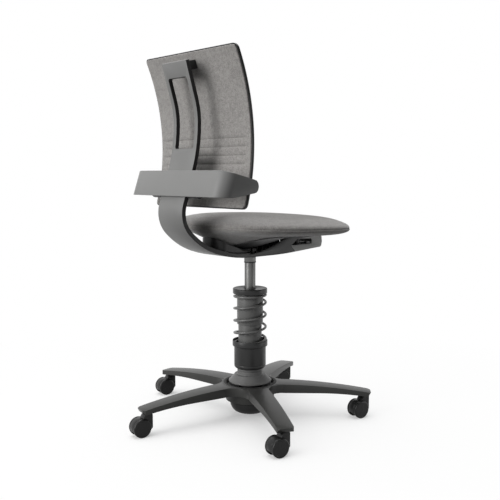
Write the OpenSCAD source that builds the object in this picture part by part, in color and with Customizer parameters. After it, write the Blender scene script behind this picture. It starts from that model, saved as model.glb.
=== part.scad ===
/* [Base] */
// Radius of the five-arm base at the arm tips
base_r = 346; // [320:2:380]
// Angle of the rear arm, seen from above
base_turn = 80.3; // [60:0.1:100]
// Half width of an arm beside the hub
arm_root_w = 29; // [24:1:32]
// Half width of an arm at its tip
arm_tip_w = 22; // [18:1:25]
// Height of the arm top beside the hub
arm_top_z = 96; // [90:1:104]
// Drop of the arm top from hub to tip
arm_drop = 23; // [14:1:28]
// Radius of the fillets between the arms
arm_fillet = 45; // [30:1:60]
// Wall of the cast arms
arm_wall = 5; // [3:0.5:7]
// Outer radius of the hub drum
hub_r = 70; // [66:1:74]
// Height of the drum's lower edge
hub_bottom_z = 47; // [42:1:50]
// Lowest point of the dome under the hub
dome_z = 9; // [5:1:16]
// Radius of the dome where it meets the drum
dome_r = 58; // [52:1:62]

/* [Castors] */
// Wheel diameter
wheel_d = 50; // [46:1:54]
// Distance of the castor stems inside the arm ends
stem_inset = 20; // [16:1:26]
// Offset of the axle behind the stem
trail = 20; // [16:0.5:24]
// Width over both wheels
castor_w = 39; // [36:0.5:44]
// Tread width of one wheel
tread_w = 8; // [6:0.5:10]
// Stem pin radius
stem_r = 5.5; // [4:0.1:6]
// Axle radius
axle_r = 4; // [3:0.1:5]
// Clearance round a turning pin
run_clear = 0.05; // [0.02:0.01:0.09]

/* [Column] */
// Height of the tilt centre inside the hub
tilt_z = 60; // [56:1:64]
// Radius of the four trunnions
trunnion_r = 5; // [4:0.1:6]
// Outer radius of the lower tube
tube_r = 33.5; // [31:0.5:35]
// Height of the lower tube's top end
tube_top_z = 312; // [300:1:316]
// Outer radius of the spring cup
cup_r = 45.5; // [43:0.5:47]
// Height of the cup's underside
cup_bottom_z = 138; // [134:1:144]
// Height of the cup's lip
cup_top_z = 219; // [212:1:224]
// Radius of the spring's wire centre line
spring_r = 44.75; // [44:0.05:45]
// Wire diameter of the spring
wire_d = 7; // [5:0.1:7.2]
// Pitch of the working coils
spring_pitch = 35.2; // [30:0.1:40]
// Height of the ledge that the spring stands on
spring_foot_z = 205; // [200:1:208]
// Height of the cap's underside, on which the spring presses
cap_bottom_z = 353; // [346:1:357]
// Height of the cap's top
cap_top_z = 369; // [362:1:374]
// Radius of the cap
cap_r = 49; // [48.5:0.1:51]
// Outer radius of the upper sleeve
sleeve_r = 37.2; // [36:0.1:37.4]
// Height of the sleeve's lower end
sleeve_bottom_z = 266; // [262:1:276]
// Radius of the lift tube
lift_r = 15.5; // [14:0.1:16.5]

/* [Seat] */
// Width of the seat
seat_w = 470; // [440:2:500]
// Depth of the seat
seat_depth = 450; // [430:2:480]
// Place of the seat's middle, ahead of the column
seat_forward = 44; // [30:1:60]
// Height of the seam round the seat, halfway along it
seat_seam_z = 542; // [540:1:552]
// Rise of that seam from there to the rear edge
seat_tilt = 8; // [0:0.5:10]
// Crown of the seat above its seam
seat_crown = 38; // [30:1:46]
// Depth of the cushion's rim below the seam
seat_lip = 20; // [12:1:20]
// Further depth of the bowl under the sitter
seat_bowl = 38; // [20:1:38]

/* [Frame strip] */
// Width of the bent strip
strip_w = 102; // [90:1:112]
// Thickness of the strip behind the seat and in the spine
strip_t = 12; // [9:0.5:12]
// Thickness of the strip under the seat
plate_t = 9; // [7:0.5:10]
// Height of the strip's underside at the column
plate_z = 463.5; // [460:0.5:468]
// Front end of the strip, ahead of the column
plate_front = 240; // [220:1:250]
// Wall of the side cheeks
cheek_t = 6; // [4:0.5:7]
// Lean of the strip at the back pivot, past upright
strip_lean = 19; // [16:0.5:20]
// Height of the spine's top end
spine_top_z = 973; // [965:1:980]
// Lower end of the window in the spine
window_low_z = 757; // [750:1:765]
// Upper end of the window in the spine
window_high_z = 935; // [925:1:938]
// Width of each leg beside the window
leg_w = 13; // [10:0.5:16]

/* [Backrest] */
// Width of the back panel
back_w = 376; // [340:1:420]
// Height of the panel's lower edge
back_low_z = 604; // [600:1:612]
// Height of the panel's upper edge
back_high_z = 1004; // [990:1:1010]
// Radius of the panel's rear face in side view
back_bend_r = 550; // [500:5:650]
// Distance of the panel's rear face behind the column, at its nearest
back_near_y = 167; // [162:1:170]
// Height at which the panel comes nearest
back_near_z = 765; // [750:1:780]
// Thickness of the panel's edge
edge_t = 15; // [13:0.5:18]
// Crown of the front cushion
back_crown = 26; // [16:1:34]
// Distance of the wings' outer sides beyond the panel
wing_clear = 7; // [6.5:0.5:10]
// Height of the rear bar along its face
bar_h = 70; // [64:1:74]
// Corner radius of the bar, seen from above
bar_corner = 35; // [25:1:45]
// Wall of the bar's wings
wing_t = 5.5; // [4:0.1:5.6]
// Distance of the wing tips behind the column
wing_tip_y = 148; // [144:1:152]
// Height of the middle of the wing tips
wing_tip_z = 661; // [655:1:667]
// Height of the wing tips
wing_tip_h = 34; // [28:1:40]

/* [Hidden] */
$fn = 64;
eps = 0.01;
arms = 5;
// Small gap that keeps curved faces of different bodies apart
air = 0.3;

// Height of the arm top at distance r from the column
function arm_top(r) = arm_top_z - arm_drop * pow(max(r - hub_r, 0) / (base_r - hub_r), 2);
arm_low_z = arm_top_z - 25;
arm_tip_t = 13;
arm_low_start = 200;
// Height of the arm's underside at distance r from the column
function arm_low(r) = arm_low_z
    - (arm_low_z - arm_top(base_r) + arm_tip_t)
        * pow(max(r - arm_low_start, 0) / (base_r - arm_low_start), 2);
stem_circle_r = base_r - stem_inset;
stem_seat_z = arm_low(stem_circle_r + 8);
wheel_r = wheel_d / 2;
ring_top_z = arm_top_z + 1;
rim_t = 3.5;
rim_h = 0.4;
web_drop = 0.6;
recess_r = 76.5;
skirt_bore_r = 68;
buffer_r = 60;
buffer_low_z = tilt_z + 16;
buffer_high_z = tilt_z + 25;
gimbal_bore_r = 50;
gimbal_r = 44;
gimbal_in_r = 34;
gimbal_h = 16;
foot_r = 30;
foot_h = 18;
foot_top_z = 98;
skirt_r = 61.5;
skirt_z = 99;
skirt_mid_r = 45;
skirt_mid_z = 119;
tube_wall = 4.5;
cup_wall = 2.5;
lip_r = cup_r + 4.7;
lip_wall = 1.4;
lip_h = 16;
bush_wall = 1.4;
sleeve_wall = sleeve_r - tube_r - run_clear - bush_wall;
cap_plate_t = 5;
cylinder_wall = 3;
cylinder_low_z = 236;
lift_low_z = 232;
lift_top_z = plate_z + plate_t + 5.5;
pin_r = 4;
pin_top_z = lift_top_z + 5;
pin_low_z = lift_top_z - 40;
boss_low_z = plate_z - 18.5;
boss_r = 20;

// Rounded rectangle from a square and four circles
module round_rect(w, h, r) {
    square([w - 2 * r, h], center = true);
    square([w, h - 2 * r], center = true);
    for (x = [-1, 1], y = [-1, 1])
        translate([x * (w / 2 - r), y * (h / 2 - r)]) circle(r);
}

// Side profile in Y and Z, extruded across the chair
module across(w) {
    rotate([90, 0, 90]) linear_extrude(w, center = true) children();
}

// Ring turned about the column axis
module ring(r_out, r_in, z_low, z_high) {
    translate([0, 0, z_low]) difference() {
        cylinder(r = r_out, h = z_high - z_low);
        translate([0, 0, -1]) cylinder(r = r_in, h = z_high - z_low + 2);
    }
}

// One place per arm, X pointing outwards
module each_arm() {
    for (k = [0 : arms - 1]) rotate(base_turn + k * 360 / arms) children();
}

gap_half = 180 / arms;
fillet_reach = (arm_root_w + arm_fillet) / tan(gap_half);
fillet_centre = (arm_root_w + arm_fillet) / sin(gap_half);
arm_tip_round = 7;

// Plan of one arm, out to its tip with clipped corners
module arm_plan(grow = 0) {
    polygon([[0, -arm_root_w + grow], [fillet_reach, -arm_root_w + grow],
        [base_r - arm_tip_round, -arm_tip_w + grow], [base_r - grow, -arm_tip_w + arm_tip_round],
        [base_r - grow, arm_tip_w - arm_tip_round], [base_r - arm_tip_round, arm_tip_w - grow],
        [fillet_reach, arm_root_w - grow], [0, arm_root_w - grow]]);
}

// Side view of one arm: curved top, nearly flat underside, tip face sloping in
module arm_side(steps = 12) {
    tip_in = 8;
    top = [for (i = [0 : steps]) let (r = base_r * i / steps) [r, arm_top(r)]];
    low = [for (i = [steps : -1 : 0]) let (r = (base_r - tip_in) * i / steps) [r, arm_low(r)]];
    polygon(concat(top, low));
}

module arm_pocket() {
    pocket_start = 96;
    pocket_end = stem_circle_r - 24;
    steps = 8;
    roof = [for (i = [0 : steps]) let (r = pocket_start + (pocket_end - pocket_start) * i / steps)
        [r, arm_top(r) - arm_wall]];
    intersection() {
        rotate([90, 0, 0]) linear_extrude(2 * arm_root_w, center = true)
            polygon(concat(roof, [[pocket_end, 0], [pocket_start, 0]]));
        linear_extrude(arm_top_z) arm_plan(arm_wall);
    }
}

// Arc between two arms, seen from the middle of their gap, from one arm's side to the other's
function web_arc(steps = 14) = [for (i = [0 : steps]) let (a = 180 + (90 - gap_half) * (1 - 2 * i / steps))
    [fillet_centre + arm_fillet * cos(a), -arm_fillet * sin(a)]];

module star_base() {
    color("#565654") difference() {
        union() {
            each_arm() {
                intersection() {
                    rotate([90, 0, 0]) linear_extrude(3 * arm_root_w, center = true) arm_side();
                    linear_extrude(arm_top_z + 1) arm_plan();
                }
                translate([stem_circle_r, 0, stem_seat_z])
                    cylinder(r = 11, h = arm_top(stem_circle_r) - 3 - stem_seat_z);
            }
            each_arm() rotate(gap_half) translate([0, 0, arm_low_z + web_drop])
                linear_extrude(arm_top_z - 2 * web_drop - arm_low_z) polygon(concat([[0, 0]], web_arc()));
            translate([0, 0, hub_bottom_z]) cylinder(r = hub_r, h = arm_low_z + 5 - hub_bottom_z);
            translate([0, 0, arm_low_z + 1])
                cylinder(r = recess_r + rim_t, h = arm_top_z + rim_h - arm_low_z - 1);
        }
        each_arm() {
            arm_pocket();
            translate([stem_circle_r, 0, stem_seat_z - 1]) cylinder(r = stem_r, h = 11);
        }
        translate([0, 0, buffer_high_z + 1]) cylinder(r = skirt_bore_r, h = 40);
        translate([0, 0, buffer_low_z]) cylinder(r = buffer_r, h = 40);
        translate([0, 0, hub_bottom_z - 1]) cylinder(r = gimbal_bore_r, h = 40);
        translate([0, 0, arm_top_z - 1]) cylinder(r = recess_r, h = 10);
        for (s = [0, 180]) rotate(s) translate([0, gimbal_bore_r - 5, tilt_z]) rotate([-90, 0, 0])
            cylinder(r = trunnion_r + run_clear, h = 17);
        for (k = [0 : 2]) rotate(45 + 120 * k) translate([dome_r - 4, 0, hub_bottom_z - 1])
            cylinder(r = 2, h = 11);
    }
}

module hub_ring() {
    color("#2b2b2b") ring(recess_r, skirt_bore_r, arm_top_z - 1, ring_top_z);
}

module tilt_buffer() {
    color("#1c1c1c") ring(buffer_r, foot_r + 5, buffer_low_z, buffer_high_z);
}

dome_wall = 3;
dome_floor_r = 27;
dome_seat_z = hub_bottom_z;

// Outline of the dome from its rim down to its flat bottom
function dome_curve(r, z0, steps = 10) = [for (i = [0 : steps]) let (a = 90 * i / steps)
    [dome_floor_r - (dome_r - r) + (dome_r - dome_floor_r) * pow(cos(a), 0.75),
    dome_seat_z - 8 - (dome_seat_z - 8 - z0) * pow(sin(a), 1.35)]];

module dome_cover() {
    color("#333333") difference() {
        rotate_extrude() polygon(concat([[0, dome_seat_z], [dome_r, dome_seat_z]],
            dome_curve(dome_r, dome_z), [[0, dome_z]]));
        rotate_extrude() polygon(concat([[0, dome_seat_z + 1], [dome_r - 9, dome_seat_z + 1],
            [dome_r - 9, dome_seat_z - 8]],
            [for (p = dome_curve(dome_r - dome_wall, dome_z + dome_wall)) if (p[0] < dome_r - 9) p],
            [[0, dome_z + dome_wall]]));
        for (k = [0 : 2]) rotate(45 + 120 * k) translate([dome_r - 4, 0, 0]) {
            cylinder(r = 2, h = hub_bottom_z + 1);
            cylinder(r = 4, h = hub_bottom_z - 6);
        }
    }
}

module dome_screws() {
    color("#5a5a5a") for (k = [0 : 2]) rotate(45 + 120 * k) translate([dome_r - 4, 0, hub_bottom_z - 9]) {
        cylinder(r = 3.6, h = 3);
        cylinder(r = 1.9, h = 17);
    }
}

stem_top_gap = 1;

module castor_stems() {
    color("#8c8c8c") each_arm() translate([stem_circle_r, 0, stem_seat_z]) {
        translate([0, 0, -22]) cylinder(r = stem_r, h = 32 - stem_top_gap);
        translate([0, 0, -2]) cylinder(r = 8, h = 2);
    }
}

yoke_top_z = stem_seat_z - 2.3;
hood_r = wheel_r - 0.3;
hood_w = castor_w - 2 * tread_w - 1;
web_t = 3;
hood_t = 2.6;

// Castor number k, drawn at the stem axis with its wheels trailing to the rear
module castor_place(k) {
    rotate(base_turn + k * 360 / arms) translate([stem_circle_r, 0, 0]) rotate(-k * 360 / arms) children();
}

module castor_yoke(k) {
    color("#2c2c2c") castor_place(k) difference() {
        union() {
            intersection() {
                translate([trail, 0, wheel_r]) rotate([90, 0, 0])
                    cylinder(r = hood_r, h = hood_w, center = true);
                union() {
                    translate([trail - wheel_r, -hood_w, wheel_r - 8])
                        cube([3 * wheel_r, 2 * hood_w, 2 * wheel_r]);
                    translate([trail - wheel_r, -web_t / 2, wheel_r - 9])
                        cube([2 * wheel_r, web_t, wheel_r]);
                }
            }
            rotate([90, 0, 0]) linear_extrude(hood_w, center = true)
                polygon([[-12, wheel_r - 3], [-7, wheel_r - 8], [6, wheel_r - 8], [trail, wheel_r + 16],
                    [14, yoke_top_z - 8], [11, yoke_top_z - 3], [8, yoke_top_z], [-10, yoke_top_z],
                    [-12, yoke_top_z - 2]]);
        }
        for (s = [-1, 1]) translate([trail, s * (web_t / 2 + hood_w), wheel_r]) rotate([90, 0, 0])
            cylinder(r = hood_r - hood_t, h = 2 * hood_w, center = true);
        translate([trail, 0, wheel_r]) rotate([90, 0, 0])
            cylinder(r = axle_r, h = 2 * hood_w, center = true);
        translate([0, 0, stem_seat_z - 23]) cylinder(r = stem_r + run_clear, h = 60);
    }
}

module castor_axle(k) {
    color("#9a9a9a") castor_place(k) translate([trail, 0, wheel_r]) rotate([90, 0, 0])
        cylinder(r = axle_r, h = castor_w - 5, center = true);
}

// One wheel: outer disc with its tread, and a narrower drum under the hood
module castor_wheel(k, side) {
    color("#262626") castor_place(k) translate([trail, 0, wheel_r]) rotate([-90 * side, 0, 0]) difference() {
        rotate_extrude() polygon([[0, web_t / 2 + air], [hood_r - hood_t - 1.2, web_t / 2 + air],
            [hood_r - hood_t - 1.2, hood_w / 2 + air], [wheel_r - 1, hood_w / 2 + air],
            [wheel_r, hood_w / 2 + air + 1], [wheel_r, castor_w / 2 - 3], [wheel_r - 1.2, castor_w / 2 - 1],
            [wheel_r - 4, castor_w / 2], [wheel_r - 6, castor_w / 2 - 0.8], [0, castor_w / 2 - 0.8]]);
        cylinder(r = axle_r + run_clear, h = castor_w / 2 - 2);
    }
}

module gimbal_ring() {
    color("#6a6a6a") {
        difference() {
            ring(gimbal_r, gimbal_in_r, tilt_z - gimbal_h / 2, tilt_z + gimbal_h / 2);
        }
        for (s = [0, 180]) rotate(s) {
            translate([0, gimbal_r - 2, tilt_z]) rotate([-90, 0, 0])
                cylinder(r = trunnion_r, h = gimbal_bore_r - gimbal_r + 11);
            translate([foot_r - 16, 0, tilt_z]) rotate([0, 90, 0])
                cylinder(r = trunnion_r, h = gimbal_in_r - foot_r + 18);
        }
    }
}

module column_foot() {
    color("#7a7a7a") difference() {
        union() {
            translate([0, 0, tilt_z - foot_h / 2]) cylinder(r = foot_r, h = foot_h);
            translate([0, 0, tilt_z]) cylinder(r = foot_r - 2, h = foot_top_z - tilt_z);
            translate([0, 0, foot_top_z]) cylinder(r = tube_r - tube_wall, h = 6);
        }
        for (s = [0, 180]) rotate(s) translate([foot_r - 18, 0, tilt_z]) rotate([0, 90, 0])
            cylinder(r = trunnion_r + run_clear, h = 30);
    }
}

module lower_tube() {
    color("#6e6e6e") ring(tube_r, tube_r - tube_wall, foot_top_z, tube_top_z);
}

// Bell-shaped skirt: a hollow flare below a shoulder, with a straight collar up to the cup
module column_skirt(steps = 6) {
    neck_r = tube_r + 3;
    neck_z = cup_bottom_z - air;
    foot_z = skirt_mid_z + 1;
    bell = [for (i = [0 : steps]) [skirt_r - (skirt_r - skirt_mid_r) * i / steps,
        skirt_z + 3 + (skirt_mid_z - skirt_z - 3) * pow(i / steps, 1.25)]];
    fillet = [for (i = [0 : steps]) let (a = 90 * i / steps)
        [neck_r + 3 - 3 * sin(a), foot_z + 3 - 3 * cos(a)]];
    color("#666664") rotate_extrude() polygon(concat([[skirt_r, skirt_z]], bell,
        [[skirt_mid_r - 0.6, foot_z - 0.2], [skirt_mid_r - 1.6, foot_z]], fillet,
        [[neck_r, neck_z], [tube_r + air, neck_z], [tube_r + air, skirt_mid_z - 6],
        [tube_r + 12, skirt_z + 3], [skirt_r - 4, skirt_z]]));
}

cup_round = 8;

module spring_cup(steps = 6) {
    foot = [for (i = [0 : steps]) let (a = 90 * i / steps)
        [cup_r - cup_round + cup_round * sin(a), cup_bottom_z + cup_round - cup_round * cos(a)]];
    color("#2e2e2e") rotate_extrude() polygon(concat([[tube_r + air, cup_bottom_z]], foot,
        [[cup_r, cup_top_z - lip_h - 1.5], [lip_r, cup_top_z - lip_h], [lip_r, cup_top_z - 1],
        [lip_r - 0.5, cup_top_z], [lip_r - lip_wall, cup_top_z],
        [lip_r - lip_wall, spring_foot_z], [cup_r - cup_wall, spring_foot_z],
        [cup_r - cup_wall, cup_bottom_z + cup_round], [tube_r + air, cup_bottom_z + 6]]));
}

// Coil spring: one tube along a helix whose first and last turns close up
dead_turns = 0.5;
dead_pitch = wire_d + 0.8;
spring_rise = cap_bottom_z - spring_foot_z - wire_d - 2 * air;
live_turns = (spring_rise - 2 * dead_turns * dead_pitch) / spring_pitch;
spring_turns = live_turns + 2 * dead_turns;
rings_per_turn = 8;
wire_sides = 6;
spring_rings = ceil(spring_turns * rings_per_turn);
// A coil stands at the picture's left side, 47.5 degrees round, at this height
coil_mark_z = 310;
coil_mark_angle = 47.5;
spring_start = coil_mark_angle - 360 * (dead_turns
    + (coil_mark_z - spring_foot_z - wire_d / 2 - air - dead_turns * dead_pitch) / spring_pitch);

function coil_z(t) = spring_foot_z + wire_d / 2 + air + dead_pitch * min(t, dead_turns)
    + spring_pitch * min(max(t - dead_turns, 0), live_turns)
    + dead_pitch * max(t - dead_turns - live_turns, 0);
function coil_point(t) =
    [spring_r * cos(spring_start + 360 * t), spring_r * sin(spring_start + 360 * t), coil_z(t)];
function coil_ring(t) = let (c = coil_point(t), a = spring_start + 360 * t, out = [cos(a), sin(a), 0],
    slope = atan2(coil_z(min(t + 0.05, spring_turns)) - coil_z(max(t - 0.05, 0)), 0.1 * 2 * PI * spring_r),
    up = [sin(a) * sin(slope), -cos(a) * sin(slope), cos(slope)])
    [for (j = [0 : wire_sides - 1]) let (b = 360 * j / wire_sides)
        c + wire_d / 2 * (cos(b) * out + sin(b) * up)];

module coil_spring() {
    n = spring_rings;
    points = [for (i = [0 : n]) each coil_ring(spring_turns * i / n)];
    sides = [for (i = [0 : n - 1], j = [0 : wire_sides - 1]) let (a = i * wire_sides + j,
        b = i * wire_sides + (j + 1) % wire_sides) each [[a, b, a + wire_sides],
        [b, b + wire_sides, a + wire_sides]]];
    lids = [for (j = [1 : wire_sides - 2]) each [[0, j + 1, j],
        [n * wire_sides, n * wire_sides + j, n * wire_sides + j + 1]]];
    color("#4c4c4c") polyhedron(points, concat(sides, lids));
}

// Least gap of the spring to itself, measured between its centre points a turn apart
gap_steps = 96;
spring_gap = min([for (i = [0 : gap_steps], j = [0 : gap_steps])
    let (p = spring_turns * i / gap_steps, q = spring_turns * j / gap_steps)
    if (q - p > 0.6) norm(coil_point(p) - coil_point(q))]) - wire_d;
echo(spring_self_gap_mm = spring_gap);

module upper_sleeve() {
    color("#707070") ring(sleeve_r, sleeve_r - sleeve_wall, sleeve_bottom_z, cap_top_z - cap_plate_t);
}

module spring_cap() {
    hole = lift_r + run_clear + cylinder_wall;
    color("#2b2b2b") rotate_extrude() polygon([[hole, cap_top_z - cap_plate_t], [hole, cap_top_z - 1.5],
        [cap_r - 4, cap_top_z - 1], [cap_r - 2.5, cap_top_z], [cap_r - 1, cap_top_z - 0.6],
        [cap_r, cap_top_z - 2], [cap_r, cap_bottom_z + 1.5], [cap_r - 1.5, cap_bottom_z],
        [sleeve_r, cap_bottom_z], [sleeve_r, cap_top_z - cap_plate_t]]);
}

module guide_bush() {
    color("#c9c6bd")
        ring(tube_r + run_clear + bush_wall, tube_r + run_clear, sleeve_bottom_z + 3, cap_bottom_z);
}

module gas_cylinder() {
    color("#3a3a3a")
        ring(lift_r + run_clear + cylinder_wall, lift_r + run_clear, cylinder_low_z, cap_top_z - 1.5);
}

module lift_tube() {
    color("#8f8f8f") difference() {
        translate([0, 0, lift_low_z]) cylinder(r = lift_r, h = lift_top_z - lift_low_z);
        translate([0, 0, pin_low_z - 10]) cylinder(r = pin_r + run_clear, h = 80);
    }
}

module release_pin() {
    color("#b0b0b0") translate([0, 0, pin_low_z]) cylinder(r = pin_r, h = pin_top_z - pin_low_z);
}

module thrust_washer() {
    color("#b8b4a8") ring(boss_r - 1.5, lift_r, boss_low_z - air - 3, boss_low_z - air);
}

module seat_boss() {
    color("#5c5c5c") difference() {
        translate([0, 0, boss_low_z])
            cylinder(r1 = lift_r + 2, r2 = boss_r, h = plate_z - boss_low_z, $fn = 96);
        translate([0, 0, boss_low_z - 1]) cylinder(r = lift_r + run_clear, h = 60);
    }
}

// A place on the strip is [y, z, heading]; a piece of its route is [length, radius, turn]
function step_on(p, seg, f = 1) = seg[2] == 0
    ? [p[0] + f * seg[0] * cos(p[2]), p[1] + f * seg[0] * sin(p[2]), p[2]]
    : let (s = seg[2] > 0 ? 1 : -1, h = p[2] + f * seg[2])
        [p[0] + s * seg[1] * (sin(h) - sin(p[2])), p[1] + s * seg[1] * (cos(p[2]) - cos(h)), h];
function route(p, segs, i = 0) = i >= len(segs) ? []
    : let (n = segs[i][2] == 0 ? 1 : max(2, ceil(abs(segs[i][2]) / 4)))
        concat(i == 0 ? [p] : [], [for (k = [1 : n]) step_on(p, segs[i], k / n)],
            route(step_on(p, segs[i]), segs, i + 1));
function inset(p, d) = [p[0] - d * sin(p[2]), p[1] + d * cos(p[2])];
function strip(list, t) = concat([for (p = list) [p[0], p[1]]],
    [for (i = [len(list) - 1 : -1 : 0]) inset(list[i], t)]);

// Route of the strip's outer face, from its front end back under the seat and up
front_rise = 4;
front_run = 120;
front_bend_r = 1100;
low_bend_r = 390;
mid_bend_r = 217;
rear_bend_r = 78;
mid_turn_at = 18.5;
rear_turn_at = 45;
pivot_heading = 90 + strip_lean;
flat_end_y = 48;
flat_run = flat_end_y + plate_front - front_run * cos(front_rise) - front_bend_r * sin(front_rise);
front_drop = front_run * sin(front_rise) + front_bend_r * (1 - cos(front_rise));
strip_start = [-plate_front, plate_z + front_drop, -front_rise];
plate_segs = [[front_run, 0, 0], [0, front_bend_r, front_rise], [flat_run, 0, 0]];
pivot_run = 31;
bend_segs = [[0, low_bend_r, mid_turn_at], [0, mid_bend_r, rear_turn_at - mid_turn_at],
    [0, rear_bend_r, pivot_heading - rear_turn_at], [pivot_run, 0, 0]];
plate_route = route(strip_start, plate_segs);
bend_route = route(plate_route[len(plate_route) - 1], bend_segs);
pivot_outer = bend_route[len(bend_route) - 1];
pivot_y = inset(pivot_outer, strip_t / 2)[0];
pivot_z = inset(pivot_outer, strip_t / 2)[1];
knuckle_r = 8.5;
shaft_r = 5;
spine_gap = 14;
spine_low_run = 37;
spine_bend_r = 395;
spine_top_bend_r = 200;
spine_top_turn = 17;
spine_start = step_on(pivot_outer, [spine_gap, 0, 0]);
spine_bent = step_on(step_on(step_on(spine_start, [spine_low_run, 0, 0]),
    [0, spine_bend_r, -strip_lean]), [0, spine_top_bend_r, -spine_top_turn]);
spine_top_run = (spine_top_z - spine_bent[1]) / cos(spine_top_turn);
spine_route = route(spine_start, [[spine_low_run, 0, 0], [0, spine_bend_r, -strip_lean],
    [0, spine_top_bend_r, -spine_top_turn], [spine_top_run, 0, 0]]);

// Height of the strip's underside at a place under the seat
function plate_low(y) = let (far = -plate_front + front_run * cos(front_rise))
    y < far ? plate_z + front_drop - (y + plate_front) * tan(front_rise)
    : y < far + front_bend_r * sin(front_rise)
        ? plate_z + front_bend_r * (1 - cos(asin((far + front_bend_r * sin(front_rise) - y) / front_bend_r)))
        : plate_z;

// The cheek rises from the plate in a curve and runs level to the front
cheek_top_z = 512;
cheek_front_z = 510;
cheek_rise_y = -104;
cheek_curve = 8;
slot_low_y = -115;
slot_high_y = -142;
slot_front_y = -201;
slot_low_z = 486;
slot_high_z = 503;

module cheek_side() {
    rise = [for (i = [0 : cheek_curve]) let (f = i / cheek_curve)
        [flat_end_y + (cheek_rise_y - flat_end_y) * f,
        plate_z + plate_t - 1 + (cheek_top_z - plate_z - plate_t + 1) * pow(f, 1.6)]];
    low = [for (i = [8 : -1 : 0]) let (y = -plate_front + (flat_end_y + plate_front) * (8 - i) / 8)
        [y, plate_low(y)]];
    difference() {
        polygon(concat(low, rise, [[-plate_front + 6, cheek_front_z], [-plate_front - 5, cheek_front_z - 4],
            [-plate_front - 7, plate_low(-plate_front) + 16],
                [-plate_front - 4, plate_low(-plate_front) + 4]]));
        polygon([[slot_low_y, slot_low_z], [slot_high_y, slot_high_z + 1],
            [slot_front_y + 3, slot_high_z - 1],
            [slot_front_y, slot_high_z - 4], [slot_front_y, slot_low_z]]);
    }
}

seat_screw_x = 30;
seat_screw_ys = [15, -160];

module seat_frame() {
    color("#6a6a6a") difference() {
        union() {
            across(strip_w) polygon(strip(plate_route, plate_t));
            across(strip_w) polygon(strip(bend_route, strip_t));
            for (s = [-1, 1])
                translate([s * (strip_w / 2 - cheek_t / 2), 0, 0]) across(cheek_t) cheek_side();
            across(strip_w - 2 * cheek_t) polygon([[-plate_front - 4, plate_low(-plate_front) + 4],
                [-plate_front + 1, plate_low(-plate_front) + 1], [-plate_front + 1, cheek_front_z - 8],
                [-plate_front - 4, cheek_front_z - 8]]);
            translate([0, pivot_y, pivot_z]) rotate([0, 90, 0])
                cylinder(r = knuckle_r, h = strip_w, center = true);
        }
        translate([0, pivot_y, pivot_z]) rotate([0, 90, 0])
            cylinder(r = shaft_r, h = strip_w + 2, center = true);
        translate([0, 0, plate_z - 1]) cylinder(r = lift_r + run_clear, h = 30);
        for (x = [-1, 1], y = seat_screw_ys) translate([x * seat_screw_x, y, plate_z - 1])
            cylinder(r = 3.2, h = 30);
    }
}

// Seat plan: a squarish oval, and the heights over it
seat_square = 2.7;
seat_y = -seat_forward;
function oval(c) = (c < 0 ? -1 : 1) * pow(abs(c), 2 / seat_square);
function seat_xy(f, a) = [seat_w / 2 * f * oval(cos(a)), seat_y + seat_depth / 2 * f * oval(sin(a))];
function seat_v(y) = (y - seat_y) / (seat_depth / 2);
function seam_z(y) = seat_seam_z + seat_tilt * seat_v(y);
bowl_y = 40;
bowl_rx = 142;
bowl_ry = 172;
function bowl(x, y) = seat_bowl * pow(max(1 - pow(x / bowl_rx, 2) - pow((y - bowl_y) / bowl_ry, 2), 0), 1.9);
function seat_f(x, y) = pow(pow(abs(x) / (seat_w / 2), seat_square)
    + pow(abs(seat_v(y)), seat_square), 1 / seat_square);
function seat_top(f, y) = seam_z(y) + seat_crown * pow(max(1 - pow(f, 2.7), 0), 0.4);
function seat_low(f, x, y) = seam_z(y) - seat_lip * pow(max(1 - pow(f, 5), 0), 0.5) - bowl(x, y);
seat_around = 48;

// Closed shape from rings of points, each ring going round anticlockwise, first ring on top
module ring_solid(rings, top, low, swap = false) {
    n = len(rings[0]);
    m = len(rings);
    faces = concat(
        [for (i = [0 : m - 2], j = [0 : n - 1]) let (a = i * n + j, b = i * n + (j + 1) % n)
            each swap ? [[a, a + n, b + n], [a, b + n, b]] : [[a, a + n, b], [b, a + n, b + n]]],
        [for (j = [0 : n - 1]) each [[m * n, j, (j + 1) % n],
            [m * n + 1, (m - 1) * n + (j + 1) % n, (m - 1) * n + j]]]);
    polyhedron([for (r = rings) each r, top, low], [for (f = faces) [f[0], f[2], f[1]]]);
}

function seat_ring(f, high, dz = 0) = [for (j = [0 : seat_around - 1])
    let (p = seat_xy(f, 360 * j / seat_around))
    [p[0], p[1], (high ? seat_top(f, p[1]) : seat_low(f, p[0], p[1])) + dz]];

seam_draw = 0.986;

// Rings that the cushion's underside and the pan on it share
pan_steps = [0.15, 0.3, 0.45, 0.6];

module seat_cushion() {
    top_steps = [0.2, 0.42, 0.62, 0.78, 0.89, 0.955, 0.985];
    low_steps = concat([0.985, 0.94, 0.86, 0.74], [for (i = [3 : -1 : 0]) pan_steps[i]]);
    seam = [for (j = [0 : seat_around - 1]) let (p = seat_xy(seam_draw, 360 * j / seat_around))
        [p[0], p[1], seam_z(p[1])]];
    color("#8a8886") ring_solid(concat([for (f = top_steps) seat_ring(f, true)],
        [seat_ring(1, true, 3), seam, seat_ring(1, false, -3)],
        [for (f = low_steps) seat_ring(f, false)]),
        [0, seat_y, seat_top(0, seat_y)], [0, seat_y, seat_low(0, 0, seat_y)]);
}

// The pan lies under the cushion, and its keel fills the space over the strip behind the column
pan_reach = pan_steps[3];
pan_t = 3;
keel_half_w = 42;
keel_start_y = 28;
keel_end_y = 154;
keel_round = 30;
keel_gap = 1.5;
mech_half_w = 14;
mech_low_y = -64;
mech_high_y = 12;
function pan_low(f, x, y) = seat_low(f, x, y) - air - pan_t;
function pan_at(x, y) = pan_low(min(seat_f(x, y), pan_reach), x, y);
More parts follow.
